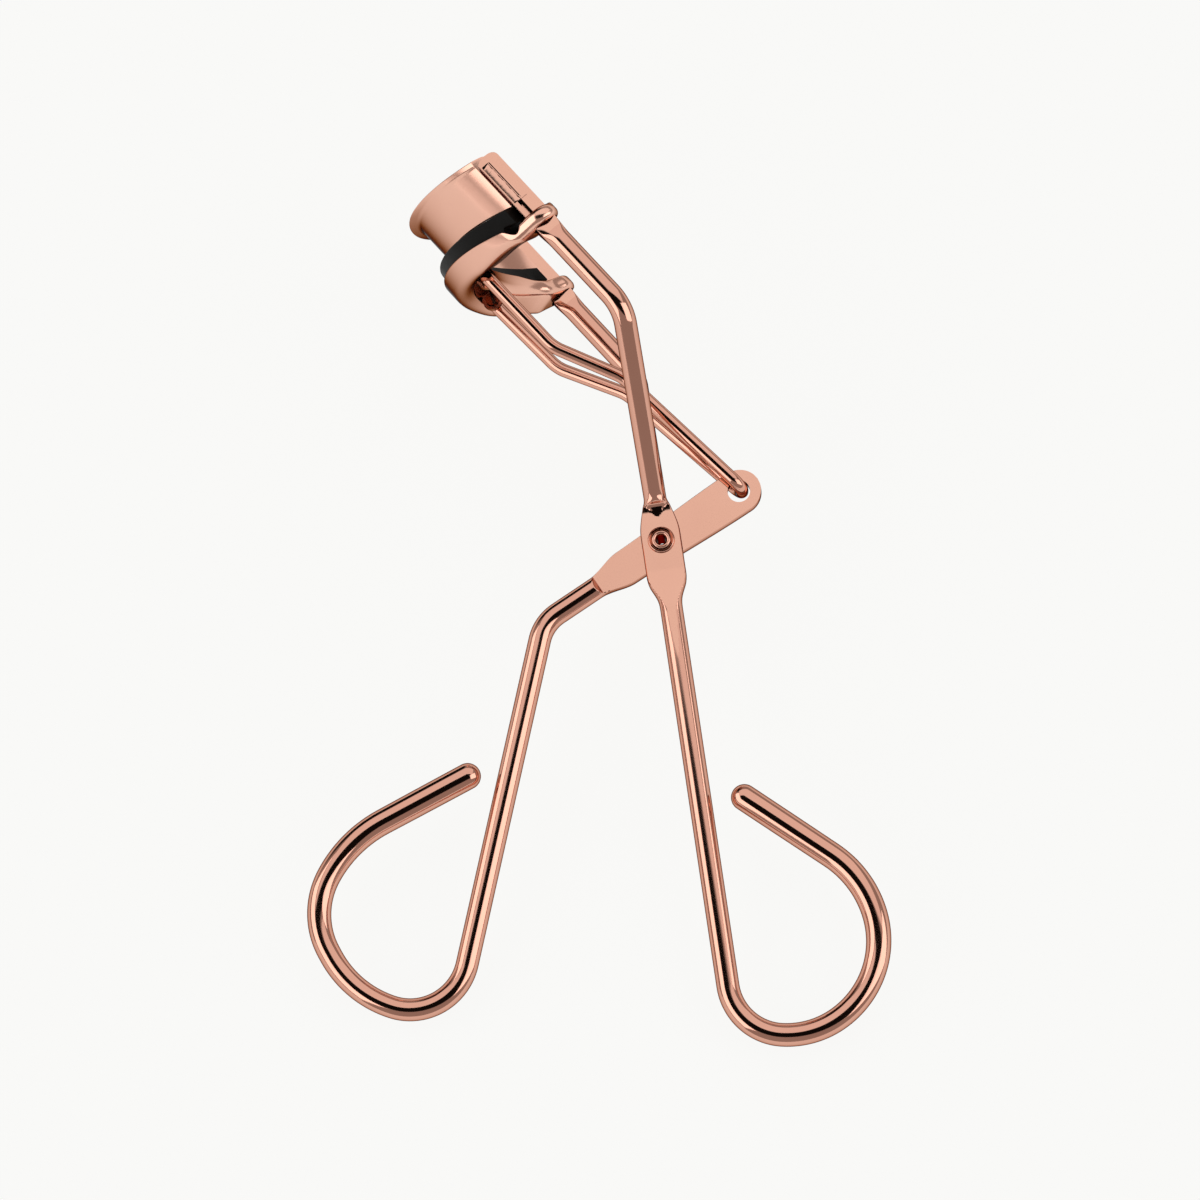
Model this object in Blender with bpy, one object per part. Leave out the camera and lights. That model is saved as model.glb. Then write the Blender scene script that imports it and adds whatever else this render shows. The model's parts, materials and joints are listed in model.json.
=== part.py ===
"""Eyelash curler: two bent frame wires with rails, a lever handle, a fixed upper jaw, a sliding
lower jaw with its pad, and a hairpin link between the lever and the lower jaw."""
import math

import bmesh
import bpy
from mathutils import Matrix, Vector

MM = 0.001

# Wire stock and the fits between pieces
FRAME_WIRE = 2.6 * MM           # diameter of the handle, rod and rail wire
LOOP_TIP_WIRE = 3.05 * MM       # diameter at the free end of each finger loop
LINK_WIRE = 1.55 * MM           # diameter of the hairpin link
STATIC_GAP = 0.1 * MM           # between pieces that are pressed or staked together
BLADE_GAP = 0.2 * MM            # between the blades that turn on each other
SLIDE_GAP = 0.3 * MM            # around each rail in its ear
CLOSING_GAP = 0.4 * MM          # between the pad and the upper jaw as it lies

# Rails: direction in the plane of the tool, and where they lie seen from the pivot
RAIL_HEADING = 131.74           # degrees from +X
RAIL_OFFSET = 13.24 * MM        # from the pivot to the line of the rails
RAIL_SPREAD = 15.5 * MM         # from the middle of the tool to each rail
RAIL_TOP = 44.05 * MM           # from the foot of that offset to the end of the rail
RAIL_BEND = 20.45 * MM          # same, to the corner where rail and rod meet
RAIL_BEND_RADIUS = 5.0 * MM
RAIL_FLAT_LENGTH = 13.1 * MM    # pressed flat, from the end of the rail
RAIL_FLAT_RAMP = 2.6 * MM
RAIL_FLAT_WIDTH = 2.5 * MM
RAIL_FLAT_THICK = 2.0 * MM

# Blades around the pivot
PIVOT_RISE = 4.9 * MM           # above the pivot, where the rods start to spread
PIVOT_BEND_RADIUS = 5.0 * MM
FRAME_HEADING = -81.85          # degrees, from the pivot down the right handle
FRAME_BLADE_WIDTH = 4.5 * MM
FRAME_BLADE_THICK = 1.2 * MM
FRAME_BLADE_UP = 5.8 * MM       # length of the blade above the pivot
FRAME_BLADE_DOWN = 7.6 * MM     # length of the blade below the pivot
FRAME_BLADE_RAMP = 3.0 * MM
REAR_BLADE_END = 3.4 * MM       # length of the rear blade below the pivot
LEVER_HEADING = 33.9            # degrees, from the pivot to the link hole
LEVER_BLADE_WIDTH = 4.2 * MM     # at the shoulder, growing towards the eye
LEVER_BLADE_THICK = 1.5 * MM
LEVER_BLADE_DOWN = 9.0 * MM     # from the pivot to the shoulder
LEVER_BLADE_RAMP = 1.4 * MM
LEVER_EYE_RADIUS = 2.45 * MM    # rounded end around the link hole
LEVER_ARM = 10.7 * MM           # from the pivot to the link hole
LINK_HOLE = 2.8 * MM            # diameter
LINK_EASE = 0.16 * MM           # the link's turn sits this far past the middle of the hole

# Lever wire below the blade, then its finger loop from the heel round to the free end
LEVER_ELBOW_RUN = 14.4 * MM     # from the pivot to the elbow
LEVER_ELBOW_RADIUS = 5.0 * MM
LEVER_ELBOW_TURN = 43.8         # degrees
LEVER_ROD = 38.2 * MM           # straight rod from the elbow to the loop
LEVER_HEEL_RADIUS = 6.55 * MM
LEVER_SIDE_RADIUS = 12.4 * MM
LEVER_TOE_RUN = 0.6 * MM
LEVER_TOE_RADIUS = 9.2 * MM
LEVER_BACK_RADIUS = 14.8 * MM
LEVER_LOOP_END = 10.95 * MM
LEVER_TURNS = (-95.7, -43.2, -56.5, -34.1)

# Right handle's finger loop, from the heel round to the free end
FRAME_ROD = 51.85 * MM          # straight rod from the pivot to the loop
FRAME_HEEL_RADIUS = 6.5 * MM
FRAME_SIDE_RADIUS = 10.0 * MM
FRAME_TOE_RADIUS = 10.8 * MM
FRAME_BACK_RADIUS = 12.2 * MM
FRAME_LOOP_END = 11.8 * MM
FRAME_TURNS = (78.6, 37.2, 71.2, 40.5)

# Jaws: arcs about one axis that runs along the rails, cut by planes that rise away from the rails
JAW_RADIUS = 18.05 * MM         # outer face of the upper jaw
JAW_SLOPE = 0.53                # rise of the upper jaw's lower edge for each unit away from the rails
UPPER_PLATE = 0.9 * MM          # thickness
UPPER_DROP = 6.9 * MM           # lower edge, below the ends of the rails
UPPER_RISE = 0.55 * MM          # top edge, above the ends of the rails
UPPER_TOP_SLOPE = 0.39
LIP_HEIGHT = 1.5 * MM
LIP_FLARE = 0.7 * MM
TAB_FOOT = 0.6 * MM             # the tab starts this far above the lower edge
TAB_HEAD = 0.9 * MM             # and ends this far below the end of the rail
TAB_OUT = 0.3 * MM              # middle of the tab, out from the middle of the rail
SHEET = 0.6 * MM                # sheet of the lower jaw
JAW_OPENING = 2.6 * MM          # from the upper jaw's edge to the walls of the channel, at the rails
CHANNEL_OUTSIDE = 2.55 * MM     # outer wall, beyond the face of the upper jaw
CHANNEL_WIDTH = 5.0 * MM
CHANNEL_DEPTH = 3.2 * MM
CHANNEL_SLOPE = 0.64            # rise of the channel for each unit away from the rails
CHANNEL_ROUND = 1.2 * MM        # outer corners of the fold
CHANNEL_TAPER = 1.0 * MM        # the channel gets this much shallower towards its ends
CHANNEL_END = 2.73 * MM         # the channel ends this far short of the rails, along its arc
EAR_WALL = 0.42 * MM            # metal around the rail
EAR_RISE = 2.15 * MM            # underside of the ears above that of the channel, at the rails
EAR_SLOPE = 0.15
EAR_THICK = 1.5 * MM
WINDOW_EASE = 1.14 * MM         # opening in the floor, past the middle of each strand of the link
PAD_FLOOR_GAP = 0.6 * MM        # pad root above the floor, room for the bracket
PAD_ROOT_END = 3.83 * MM        # pad root and head, short of the rails along the arc
PAD_HEAD_END = 1.63 * MM
PAD_END_DROP = 0.4 * MM         # the pad's top falls away by this much at its ends
PAD_CROWN = 0.9 * MM            # rounding of the pad's top edges

# Link and its bracket
HOOK_INSET = 0.95 * MM          # hook axis, inside the upper jaw's face
HOOK_CLEAR = 0.1 * MM           # between the hooks' holes and the bracket's web
HOOK_SPREAD = 6.2 * MM          # each strand from the middle of the tool
HOOK_LENGTH = 2.4 * MM
HOOK_BEND_RADIUS = 1.1 * MM
KNEE_IN = 0.25 * MM             # upper bend of the link, from the hook
KNEE_DOWN = 11.24 * MM
ELBOW_OUT = 1.62 * MM           # lower bend of the link, from its turn in the lever
ELBOW_UP = 18.43 * MM
LINK_BEND_RADIUS = 5.0 * MM
LUG_THICK = 0.8 * MM
LUG_RADIUS = 1.15 * MM
BRACKET_WEB = 0.4 * MM          # thickness
BRACKET_INSIDE = 0.35 * MM      # edges of the web, each side of the hook axis
BRACKET_OUTSIDE = 1.4 * MM

# Tubular rivet
RIVET_SHANK = 2.0 * MM          # diameter
RIVET_BORE = 1.2 * MM
RIVET_HEAD = 2.85 * MM
RIVET_HEAD_RISE = 0.5 * MM

# Facets
RING_SIDES = 16
LINK_SIDES = 12
BEND_STEP = 11.0                # degrees between rings in a bend
JAW_STEPS = 36

ACROSS = Vector((0.0, 0.0, 1.0))
RAIL_DIR = Vector((math.cos(math.radians(RAIL_HEADING)), math.sin(math.radians(RAIL_HEADING)), 0.0))
JAW_DIR = ACROSS.cross(RAIL_DIR)
JAW_AXIS_OUT = -math.sqrt(JAW_RADIUS ** 2 - RAIL_SPREAD ** 2)
FRAME_LAYER = LEVER_BLADE_THICK / 2 + BLADE_GAP + FRAME_BLADE_THICK / 2
ROD = FRAME_WIRE / 2
LEVER_ELBOW = (LEVER_ELBOW_RUN, LEVER_ELBOW_RADIUS, LEVER_ELBOW_TURN)
LEVER_LOOP = tuple(zip((LEVER_ROD, 0.0, LEVER_TOE_RUN, 0.0),
                       (LEVER_HEEL_RADIUS, LEVER_SIDE_RADIUS, LEVER_TOE_RADIUS, LEVER_BACK_RADIUS),
                       LEVER_TURNS))
FRAME_LOOP = tuple(zip((FRAME_ROD, 0.0, 0.0, 0.0),
                       (FRAME_HEEL_RADIUS, FRAME_SIDE_RADIUS, FRAME_TOE_RADIUS, FRAME_BACK_RADIUS),
                       FRAME_TURNS))
UPPER_EDGE = RAIL_TOP - UPPER_DROP
UPPER_TOP = RAIL_TOP + UPPER_RISE
TAB_LOW = UPPER_EDGE + TAB_FOOT
TAB_TOP = RAIL_TOP - TAB_HEAD
CHANNEL_TOP = UPPER_EDGE - JAW_OPENING
CHANNEL_BOTTOM = CHANNEL_TOP - CHANNEL_DEPTH
EAR_LOW = CHANNEL_BOTTOM + EAR_RISE
HOOK_OUT = JAW_AXIS_OUT + JAW_RADIUS - HOOK_INSET
HOOK_HOLE = LINK_WIRE / 2 + STATIC_GAP
HOOK_DROP = BRACKET_WEB + HOOK_CLEAR + HOOK_HOLE
RAIL_ANGLE = math.asin(RAIL_SPREAD / JAW_RADIUS)
CHANNEL_ANGLE = RAIL_ANGLE - CHANNEL_END / JAW_RADIUS
PAD_ROOT_ANGLE = RAIL_ANGLE - PAD_ROOT_END / JAW_RADIUS
PAD_HEAD_ANGLE = RAIL_ANGLE - PAD_HEAD_END / JAW_RADIUS
WINDOW_ANGLE = math.asin((HOOK_SPREAD + WINDOW_EASE) / JAW_RADIUS)


def heading(degrees):
    """Unit direction in the plane of the tool."""
    return Vector((math.cos(math.radians(degrees)), math.sin(math.radians(degrees)), 0.0))


def jaw_point(out, along, across):
    """Place given out from the rails, along them and across the tool."""
    return RAIL_DIR * along + JAW_DIR * (out - RAIL_OFFSET) + ACROSS * across


def arc_rise(angle, slope):
    """How far an edge that is level with the rails at the ends has risen at this angle."""
    return slope * (JAW_AXIS_OUT + JAW_RADIUS * math.cos(angle))


def arc_point(radius, angle, level, slope):
    """Place on an arc about the jaw axis: level counts along the rails from the sloping plane."""
    out = JAW_AXIS_OUT + radius * math.cos(angle)
    return jaw_point(out, level + arc_rise(angle, slope), radius * math.sin(angle))


def spread(low, high, count):
    return [low + (high - low) * i / count for i in range(count + 1)]


def ramp(value, start, length):
    """0 before start, 1 past start + length, smooth between."""
    t = min(max((value - start) / length, 0.0), 1.0)
    return t * t * (3.0 - 2.0 * t)


def filleted(corners, radii):
    """Polyline through corners, each inner corner rounded with its radius."""
    path = [corners[0]]
    for before, corner, after, radius in zip(corners, corners[1:], corners[2:], radii):
        enter = (corner - before).normalized()
        leave = (after - corner).normalized()
        turn = enter.angle(leave)
        reach = radius * math.tan(turn / 2)
        middle = corner + (leave - enter).normalized() * (radius / math.cos(turn / 2))
        steps = max(2, math.ceil(math.degrees(turn) / BEND_STEP))
        first = corner - enter * reach - middle
        axis = enter.cross(leave).normalized()
        path += [middle + Matrix.Rotation(turn * i / steps, 3, axis) @ first for i in range(steps + 1)]
    return path + [corners[-1]]


def bent(start, degrees, bends, last):
    """Wire bent in the plane of the tool: straight runs, each followed by a bend, then a last run."""
    path = [start.copy()]
    for run, radius, turn in bends:
        if run > 0.0:
            path.append(path[-1] + heading(degrees) * run)
        side = 1.0 if turn > 0.0 else -1.0
        middle = path[-1] + heading(degrees + 90.0 * side) * radius
        steps = max(2, math.ceil(abs(turn) / BEND_STEP))
        first = path[-1] - middle
        for i in range(1, steps + 1):
            path.append(middle + Matrix.Rotation(math.radians(turn * i / steps), 3, "Z") @ first)
        degrees += turn
    return path + [path[-1] + heading(degrees) * last]


def lengths(path):
    """Distance of each point from the start of the path."""
    total = [0.0]
    for a, b in zip(path, path[1:]):
        total.append(total[-1] + (b - a).length)
    return total


def with_stations(path, wanted):
    """The same path with extra points at the wanted distances from its start."""
    marks = lengths(path)
    points = dict(zip(marks, path))
    for distance in wanted:
        for i in range(len(marks) - 1):
            if marks[i] + 1e-6 < distance < marks[i + 1] - 1e-6:
                share = (distance - marks[i]) / (marks[i + 1] - marks[i])
                points[distance] = path[i].lerp(path[i + 1], share)
    return [points[mark] for mark in sorted(points)]


def round_section(radius, sides=RING_SIDES):
    angles = [2.0 * math.pi * i / sides for i in range(sides)]
    return [(radius * math.cos(a), radius * math.sin(a)) for a in angles]


def pressed_section(width, thick, press, radius=ROD, sides=RING_SIDES):
    """Round wire pressed between flat dies: press 0 is round, 1 is a flat bar with round edges."""
    bulge = 1.6
    section = []
    for u, v in round_section(1.0, sides):
        flat_u = math.copysign(math.sqrt(abs(u)), u) * width / 2
        flat_v = min(max(v * bulge, -1.0), 1.0) * thick / 2
        section.append((radius * u + (flat_u - radius * u) * press,
                        radius * v + (flat_v - radius * v) * press))
    return section


def rings_along(path, sections, reference=ACROSS):
    """One ring of points around each point of the path, square to it."""
    rings = []
    for i, (centre, section) in enumerate(zip(path, sections)):
        along = (path[min(i + 1, len(path) - 1)] - path[max(i - 1, 0)]).normalized()
        side = reference.cross(along).normalized()
        up = along.cross(side)
        rings.append([centre + side * u + up * v for u, v in section])
    return rings


def loft(rings):
    """Closed skin through a row of rings."""
    bm = bmesh.new()
    loops = [[bm.verts.new(point) for point in ring] for ring in rings]
    for a, b in zip(loops, loops[1:]):
        for i in range(len(a)):
            j = (i + 1) % len(a)
            bm.faces.new((a[i], a[j], b[j], b[i]))
    bm.faces.new(loops[0][::-1])
    bm.faces.new(loops[-1])
    bmesh.ops.recalc_face_normals(bm, faces=bm.faces)
    return bm


def prism(outline, low, high, lift):
    """Solid between two levels: lift(point, level) places each point of the outline."""
    return loft([[lift(point, level) for point in outline] for level in (low, high)])


def cylinder(centre, axis, radius, length, sides=24):
    """Round bar centred on a point."""
    along = axis.normalized()
    side = along.orthogonal().normalized()
    up = along.cross(side)
    ends = [centre - along * length / 2, centre + along * length / 2]
    return loft([[end + side * u + up * v for u, v in round_section(radius, sides)] for end in ends])


def box(centre, axes, sizes):
    """Block with its edges along three given axes."""
    x, y, z = (axis * size / 2 for axis, size in zip(axes, sizes))
    return loft([[centre + z * s - x - y, centre + z * s + x - y, centre + z * s + x + y,
                  centre + z * s - x + y] for s in (-1.0, 1.0)])


def finish(name, colour, roughness, metallic):
    material = bpy.data.materials.new(name)
    material.use_nodes = True
    shader = material.node_tree.nodes["Principled BSDF"]
    shader.inputs["Base Color"].default_value = (*colour, 1.0)
    shader.inputs["Roughness"].default_value = roughness
    shader.inputs["Metallic"].default_value = metallic
    return material


def add(name, bm, parent, material=None):
    """Object with the parent's origin from a mesh in the tool's own axes."""
    bmesh.ops.translate(bm, verts=bm.verts, vec=-parent_origin(parent))
    mesh = bpy.data.meshes.new(name)
    bm.to_mesh(mesh)
    bm.free()
    thing = bpy.data.objects.new(name, mesh)
    bpy.context.scene.collection.objects.link(thing)
    thing.parent = parent
    if material:
        mesh.materials.append(material)
        mesh.shade_smooth()
        mesh.set_sharp_from_angle(angle=math.radians(40.0))
    else:
        thing.hide_render = True
        thing.display_type = "WIRE"
    return thing


def parent_origin(parent):
    """Where a joint's empty lies in the tool's own axes."""
    return Vector((0.0, 0.0, 0.0)) if parent.parent is None else parent.location.copy()


def change(thing, cutter, operation):
    step = thing.modifiers.new(operation.lower() + "_" + cutter.name, "BOOLEAN")
    step.operation = operation
    step.solver = "EXACT"
    step.object = cutter


def empty(name, parent, place):
    thing = bpy.data.objects.new(name, None)
    bpy.context.scene.collection.objects.link(thing)
    thing.parent = parent
    thing.location = place
    return thing


def round_end(width):
    """Distances past the centre of a rounded bar end, with the width that is left there."""
    return [(width / 2 * math.sin(math.radians(a)), width * math.cos(math.radians(a)))
            for a in (0.0, 25.0, 48.0, 68.0, 84.0)]


def rail_sections(distance):
    """Section of a frame wire at a distance from the centre of its rounded rail end."""
    flat_length = RAIL_FLAT_LENGTH - RAIL_FLAT_WIDTH / 2
    press = 1.0 - ramp(distance, flat_length - RAIL_FLAT_RAMP, RAIL_FLAT_RAMP)
    return pressed_section(RAIL_FLAT_WIDTH, RAIL_FLAT_THICK, press)


def blade_section(distance, down):
    """Section of a frame wire at a distance below the pivot."""
    press = ramp(distance, -FRAME_BLADE_UP, FRAME_BLADE_RAMP)
    press *= 1.0 - ramp(distance, down - FRAME_BLADE_RAMP, FRAME_BLADE_RAMP)
    return pressed_section(FRAME_BLADE_WIDTH, FRAME_BLADE_THICK, press)


def frame_top(side):
    """Path of a frame wire from the end of its rail to the pivot."""
    layer = ACROSS * FRAME_LAYER * side
    across = RAIL_SPREAD * side
    corners = [jaw_point(0.0, RAIL_TOP - RAIL_FLAT_WIDTH / 2, across),
               jaw_point(0.0, RAIL_BEND, across),
               layer - heading(FRAME_HEADING) * PIVOT_RISE,
               layer]
    return filleted(corners, (RAIL_BEND_RADIUS, PIVOT_BEND_RADIUS))


def frame_rings(side, tail, down):
    """Rings of a frame wire: rounded rail end, rail, rod, blade and what follows the pivot."""
    top = frame_top(side)
    to_pivot = lengths(top)[-1]
    path = top + tail
    flat_length = RAIL_FLAT_LENGTH - RAIL_FLAT_WIDTH / 2
    marks = spread(flat_length - RAIL_FLAT_RAMP, flat_length, 4)
    marks += [to_pivot + d for d in spread(-FRAME_BLADE_UP, -FRAME_BLADE_UP + FRAME_BLADE_RAMP, 4)]
    marks += [to_pivot + d for d in spread(down - FRAME_BLADE_RAMP, down, 4)]
    path = with_stations(path, marks)
    total = lengths(path)[-1]
    sections = []
    for distance in lengths(path):
        if distance < to_pivot / 2:
            sections.append(rail_sections(distance))
        else:
            sections.append(blade_section(distance - to_pivot, down))
    end = [jaw_point(0.0, RAIL_TOP - RAIL_FLAT_WIDTH / 2 + past, RAIL_SPREAD * side)
           for past, _ in round_end(RAIL_FLAT_WIDTH)][:0:-1]
    end_sections = [pressed_section(width, RAIL_FLAT_THICK, 1.0)
                    for _, width in round_end(RAIL_FLAT_WIDTH)][:0:-1]
    return end + path, end_sections + sections, total


def loop_taper(path, sections, taper_length):
    """The wire swells slowly to its free end, which is a half ball."""
    marks = lengths(path)
    total = marks[-1]
    swell = LOOP_TIP_WIRE / FRAME_WIRE - 1.0
    grown = []
    for mark, section in zip(marks, sections):
        factor = 1.0 + swell * ramp(mark, total - taper_length, taper_length)
        grown.append([(u * factor, v * factor) for u, v in section])
    tip = LOOP_TIP_WIRE / 2
    along = (path[-1] - path[-2]).normalized()
    ball = [(tip * math.sin(math.radians(a)), tip * math.cos(math.radians(a))) for a in (25, 48, 68, 84)]
    return path + [path[-1] + along * past for past, _ in ball], grown + [round_section(r) for _, r in ball]


def slot_cutter(name, side, parent):
    """Slot through the flat of a rail for the tab of the upper jaw."""
    centre = jaw_point(TAB_OUT, (TAB_LOW + TAB_TOP) / 2, RAIL_SPREAD * side)
    sizes = (UPPER_PLATE + 2 * STATIC_GAP, TAB_TOP - TAB_LOW + 2 * STATIC_GAP, FRAME_WIRE * 2)
    return add(name, box(centre, (JAW_DIR, RAIL_DIR, ACROSS), sizes), parent)


def rivet_hole(name, parent):
    radius = RIVET_SHANK / 2 + STATIC_GAP
    return add(name, cylinder(Vector(), ACROSS, radius, 8 * FRAME_LAYER), parent)


def make_front_frame(tool, plate):
    start = ACROSS * FRAME_LAYER
    tail = bent(start, FRAME_HEADING, FRAME_LOOP, FRAME_LOOP_END)[1:]
    path, sections, total = frame_rings(1.0, tail, FRAME_BLADE_DOWN)
    path, sections = loop_taper(path, sections, total / 3)
    frame = add("front_frame", loft(rings_along(path, sections)), tool, plate)
    change(frame, slot_cutter("front_slot", 1.0, tool), "DIFFERENCE")
    change(frame, rivet_hole("front_rivet_hole", tool), "DIFFERENCE")


def make_rear_frame(tool, plate):
    down = heading(FRAME_HEADING)
    start = -ACROSS * FRAME_LAYER
    tail = [start + down * (REAR_BLADE_END - FRAME_BLADE_WIDTH / 2)]
    path, sections, _ = frame_rings(-1.0, tail, FRAME_BLADE_DOWN)
    end = round_end(FRAME_BLADE_WIDTH)[1:]
    path += [tail[0] + down * past for past, _ in end]
    sections += [pressed_section(width, FRAME_BLADE_THICK, 1.0) for _, width in end]
    frame = add("rear_frame", loft(rings_along(path, sections)), tool, plate)
    change(frame, slot_cutter("rear_slot", -1.0, tool), "DIFFERENCE")
    change(frame, rivet_hole("rear_rivet_hole", tool), "DIFFERENCE")


def make_lever(lever, plate):
    eye = heading(LEVER_HEADING) * LEVER_ARM
    end = round_end(2 * LEVER_EYE_RADIUS)[1:]
    down = -heading(LEVER_HEADING)
    wire = bent(Vector(), LEVER_HEADING + 180.0, (LEVER_ELBOW,) + LEVER_LOOP, LEVER_LOOP_END)
    blade = LEVER_ARM + LEVER_BLADE_DOWN
    path = [eye] + wire[1:]
    marks = spread(blade - LEVER_BLADE_RAMP, blade, 4) + spread(0.0, blade - LEVER_BLADE_RAMP, 6)
    path = with_stations(path, marks)
    sections = []
    for distance in lengths(path):
        press = 1.0 - ramp(distance, blade - LEVER_BLADE_RAMP, LEVER_BLADE_RAMP)
        width = 2 * LEVER_EYE_RADIUS
        width += (LEVER_BLADE_WIDTH - width) * ramp(distance, 0.0, blade)
        sections.append(pressed_section(width, LEVER_BLADE_THICK, press))
    total = lengths(path)[-1]
    path = [eye - down * past for past, _ in end][::-1] + path
    sections = [pressed_section(width, LEVER_BLADE_THICK, 1.0) for _, width in end][::-1] + sections
    path, sections = loop_taper(path, sections, total / 3)
    handle = add("lever_handle", loft(rings_along(path, sections)), lever, plate)
    hole = cylinder(eye, ACROSS, LINK_HOLE / 2, 4 * LEVER_BLADE_THICK)
    change(handle, add("link_hole", hole, lever), "DIFFERENCE")
    change(handle, rivet_hole("lever_rivet_hole", lever), "DIFFERENCE")


def make_upper_jaw(tool, plate):
    """Curved plate as a row of closed rings, each around the plate's section at one station."""
    middle_radius = JAW_RADIUS - UPPER_PLATE / 2
    rail_face = RAIL_SPREAD - RAIL_FLAT_THICK / 2 - STATIC_GAP
    outer = RAIL_SPREAD + RAIL_FLAT_THICK / 2
    last = math.asin((rail_face - UPPER_PLATE) / middle_radius)
    rings = []
    for angle in spread(-last, last, JAW_STEPS):
        flare = LIP_FLARE * math.cos(angle / last * math.pi / 2)
        ring = []
        for half in (UPPER_PLATE / 2, -UPPER_PLATE / 2):
            radius = middle_radius + half
            column = [arc_point(radius, angle, UPPER_EDGE, JAW_SLOPE),
                      arc_point(radius, angle, UPPER_TOP - LIP_HEIGHT, UPPER_TOP_SLOPE),
                      arc_point(radius + flare * 0.25, angle, UPPER_TOP - LIP_HEIGHT / 2, UPPER_TOP_SLOPE),
                      arc_point(radius + flare, angle, UPPER_TOP, UPPER_TOP_SLOPE)]
            ring += column if half > 0.0 else column[::-1]
        rings.append(ring)
    full = (UPPER_EDGE, UPPER_TOP)
    tab = (TAB_LOW, TAB_TOP)
    for side in (1.0, -1.0):
        end = []
        for across, (low, high) in ((rail_face, full), (rail_face, tab), (outer, tab)):
            levels = [low, low + (high - low) * 0.6, low + (high - low) * 0.8, high]
            column = [[jaw_point(TAB_OUT + half, level, across * side) for level in levels]
                      for half in (UPPER_PLATE / 2, -UPPER_PLATE / 2)]
            end.append(column[0] + column[1][::-1])
        rings = rings + end if side > 0.0 else end[::-1] + rings
    add("upper_jaw", loft(rings), tool, plate)


def channel_radii():
    """Radii of the lower jaw's outer wall, its inside, the inner wall's inside and outside."""
    outside = JAW_RADIUS + CHANNEL_OUTSIDE
    inside = outside - CHANNEL_WIDTH
    return outside, outside - SHEET, inside + SHEET, inside


def channel_lift(angle):
    """How far the floor has come up at this angle, as the channel gets shallower."""
    return CHANNEL_TAPER * ramp(abs(angle), CHANNEL_ANGLE / 2, CHANNEL_ANGLE / 2)


def wrapped(corners):
    """Corners of the tightest outline around some points in a plane, in order around it."""
    points = sorted(corners)
    outline = []
    for row in (points, points[::-1]):
        side = []
        for point in row:
            while len(side) > 1 and turn_of(side[-2], side[-1], point) <= 0.0:
                side.pop()
            side.append(point)
        outline += side[:-1]
    return outline


def turn_of(a, b, c):
    return (b[0] - a[0]) * (c[1] - a[1]) - (b[1] - a[1]) * (c[0] - a[0])


def make_lower_jaw(slide, plate):
    outside, groove_out, groove_in, inside = channel_radii()
    floor = CHANNEL_BOTTOM + SHEET
    fold = [(CHANNEL_ROUND * (1.0 - math.cos(a)), CHANNEL_ROUND * (1.0 - math.sin(a)))
            for a in spread(0.0, math.pi / 2, 3)]
    end = CHANNEL_ANGLE
    rings = []
    for angle in spread(-end, end, JAW_STEPS):
        lift = channel_lift(angle)
        profile = [(inside + u, CHANNEL_BOTTOM + lift + v) for u, v in fold]
        profile += [(outside - u, CHANNEL_BOTTOM + lift + v) for u, v in fold[::-1]]
        profile += [(outside, CHANNEL_TOP), (groove_out, CHANNEL_TOP), (groove_out, floor + lift),
                    (groove_in, floor + lift), (groove_in, CHANNEL_TOP), (inside, CHANNEL_TOP)]
        rings.append([arc_point(radius, angle, level, CHANNEL_SLOPE) for radius, level in profile])
    jaw = add("lower_jaw", loft(rings), slide, plate)
    hole = ROD + SLIDE_GAP

    def ear_lift(point, level):
        return jaw_point(point[0], level + EAR_SLOPE * point[0], point[1])

    for side, word in ((1.0, "near"), (-1.0, "far")):
        corners = [(u, RAIL_SPREAD + v) for u, v in round_section(hole + EAR_WALL, 24)]
        for radius in (outside - SHEET / 2, inside + SHEET / 2):
            for angle in (end - SHEET / outside, end - 2 * SHEET / outside):
                corners.append((JAW_AXIS_OUT + radius * math.cos(angle), radius * math.sin(angle)))
        outline = [(out, across * side) for out, across in wrapped(corners)]
        ear = prism(outline, EAR_LOW, EAR_LOW + EAR_THICK, ear_lift)
        change(jaw, add("ear_" + word, ear, slide), "UNION")
        bore = cylinder(jaw_point(0.0, EAR_LOW, RAIL_SPREAD * side), RAIL_DIR, hole, 12 * EAR_THICK)
        change(jaw, add("ear_bore_" + word, bore, slide), "DIFFERENCE")
    low, high = CHANNEL_BOTTOM - SHEET, floor + SHEET
    near_side, far_side = groove_in + STATIC_GAP, groove_out - STATIC_GAP
    section = ((near_side, low), (far_side, low), (far_side, high), (near_side, high))
    window = loft([[arc_point(radius, angle, level, CHANNEL_SLOPE) for radius, level in section]
                   for angle in spread(-WINDOW_ANGLE, WINDOW_ANGLE, JAW_STEPS // 2)])
    change(jaw, add("floor_window", window, slide), "DIFFERENCE")


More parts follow.
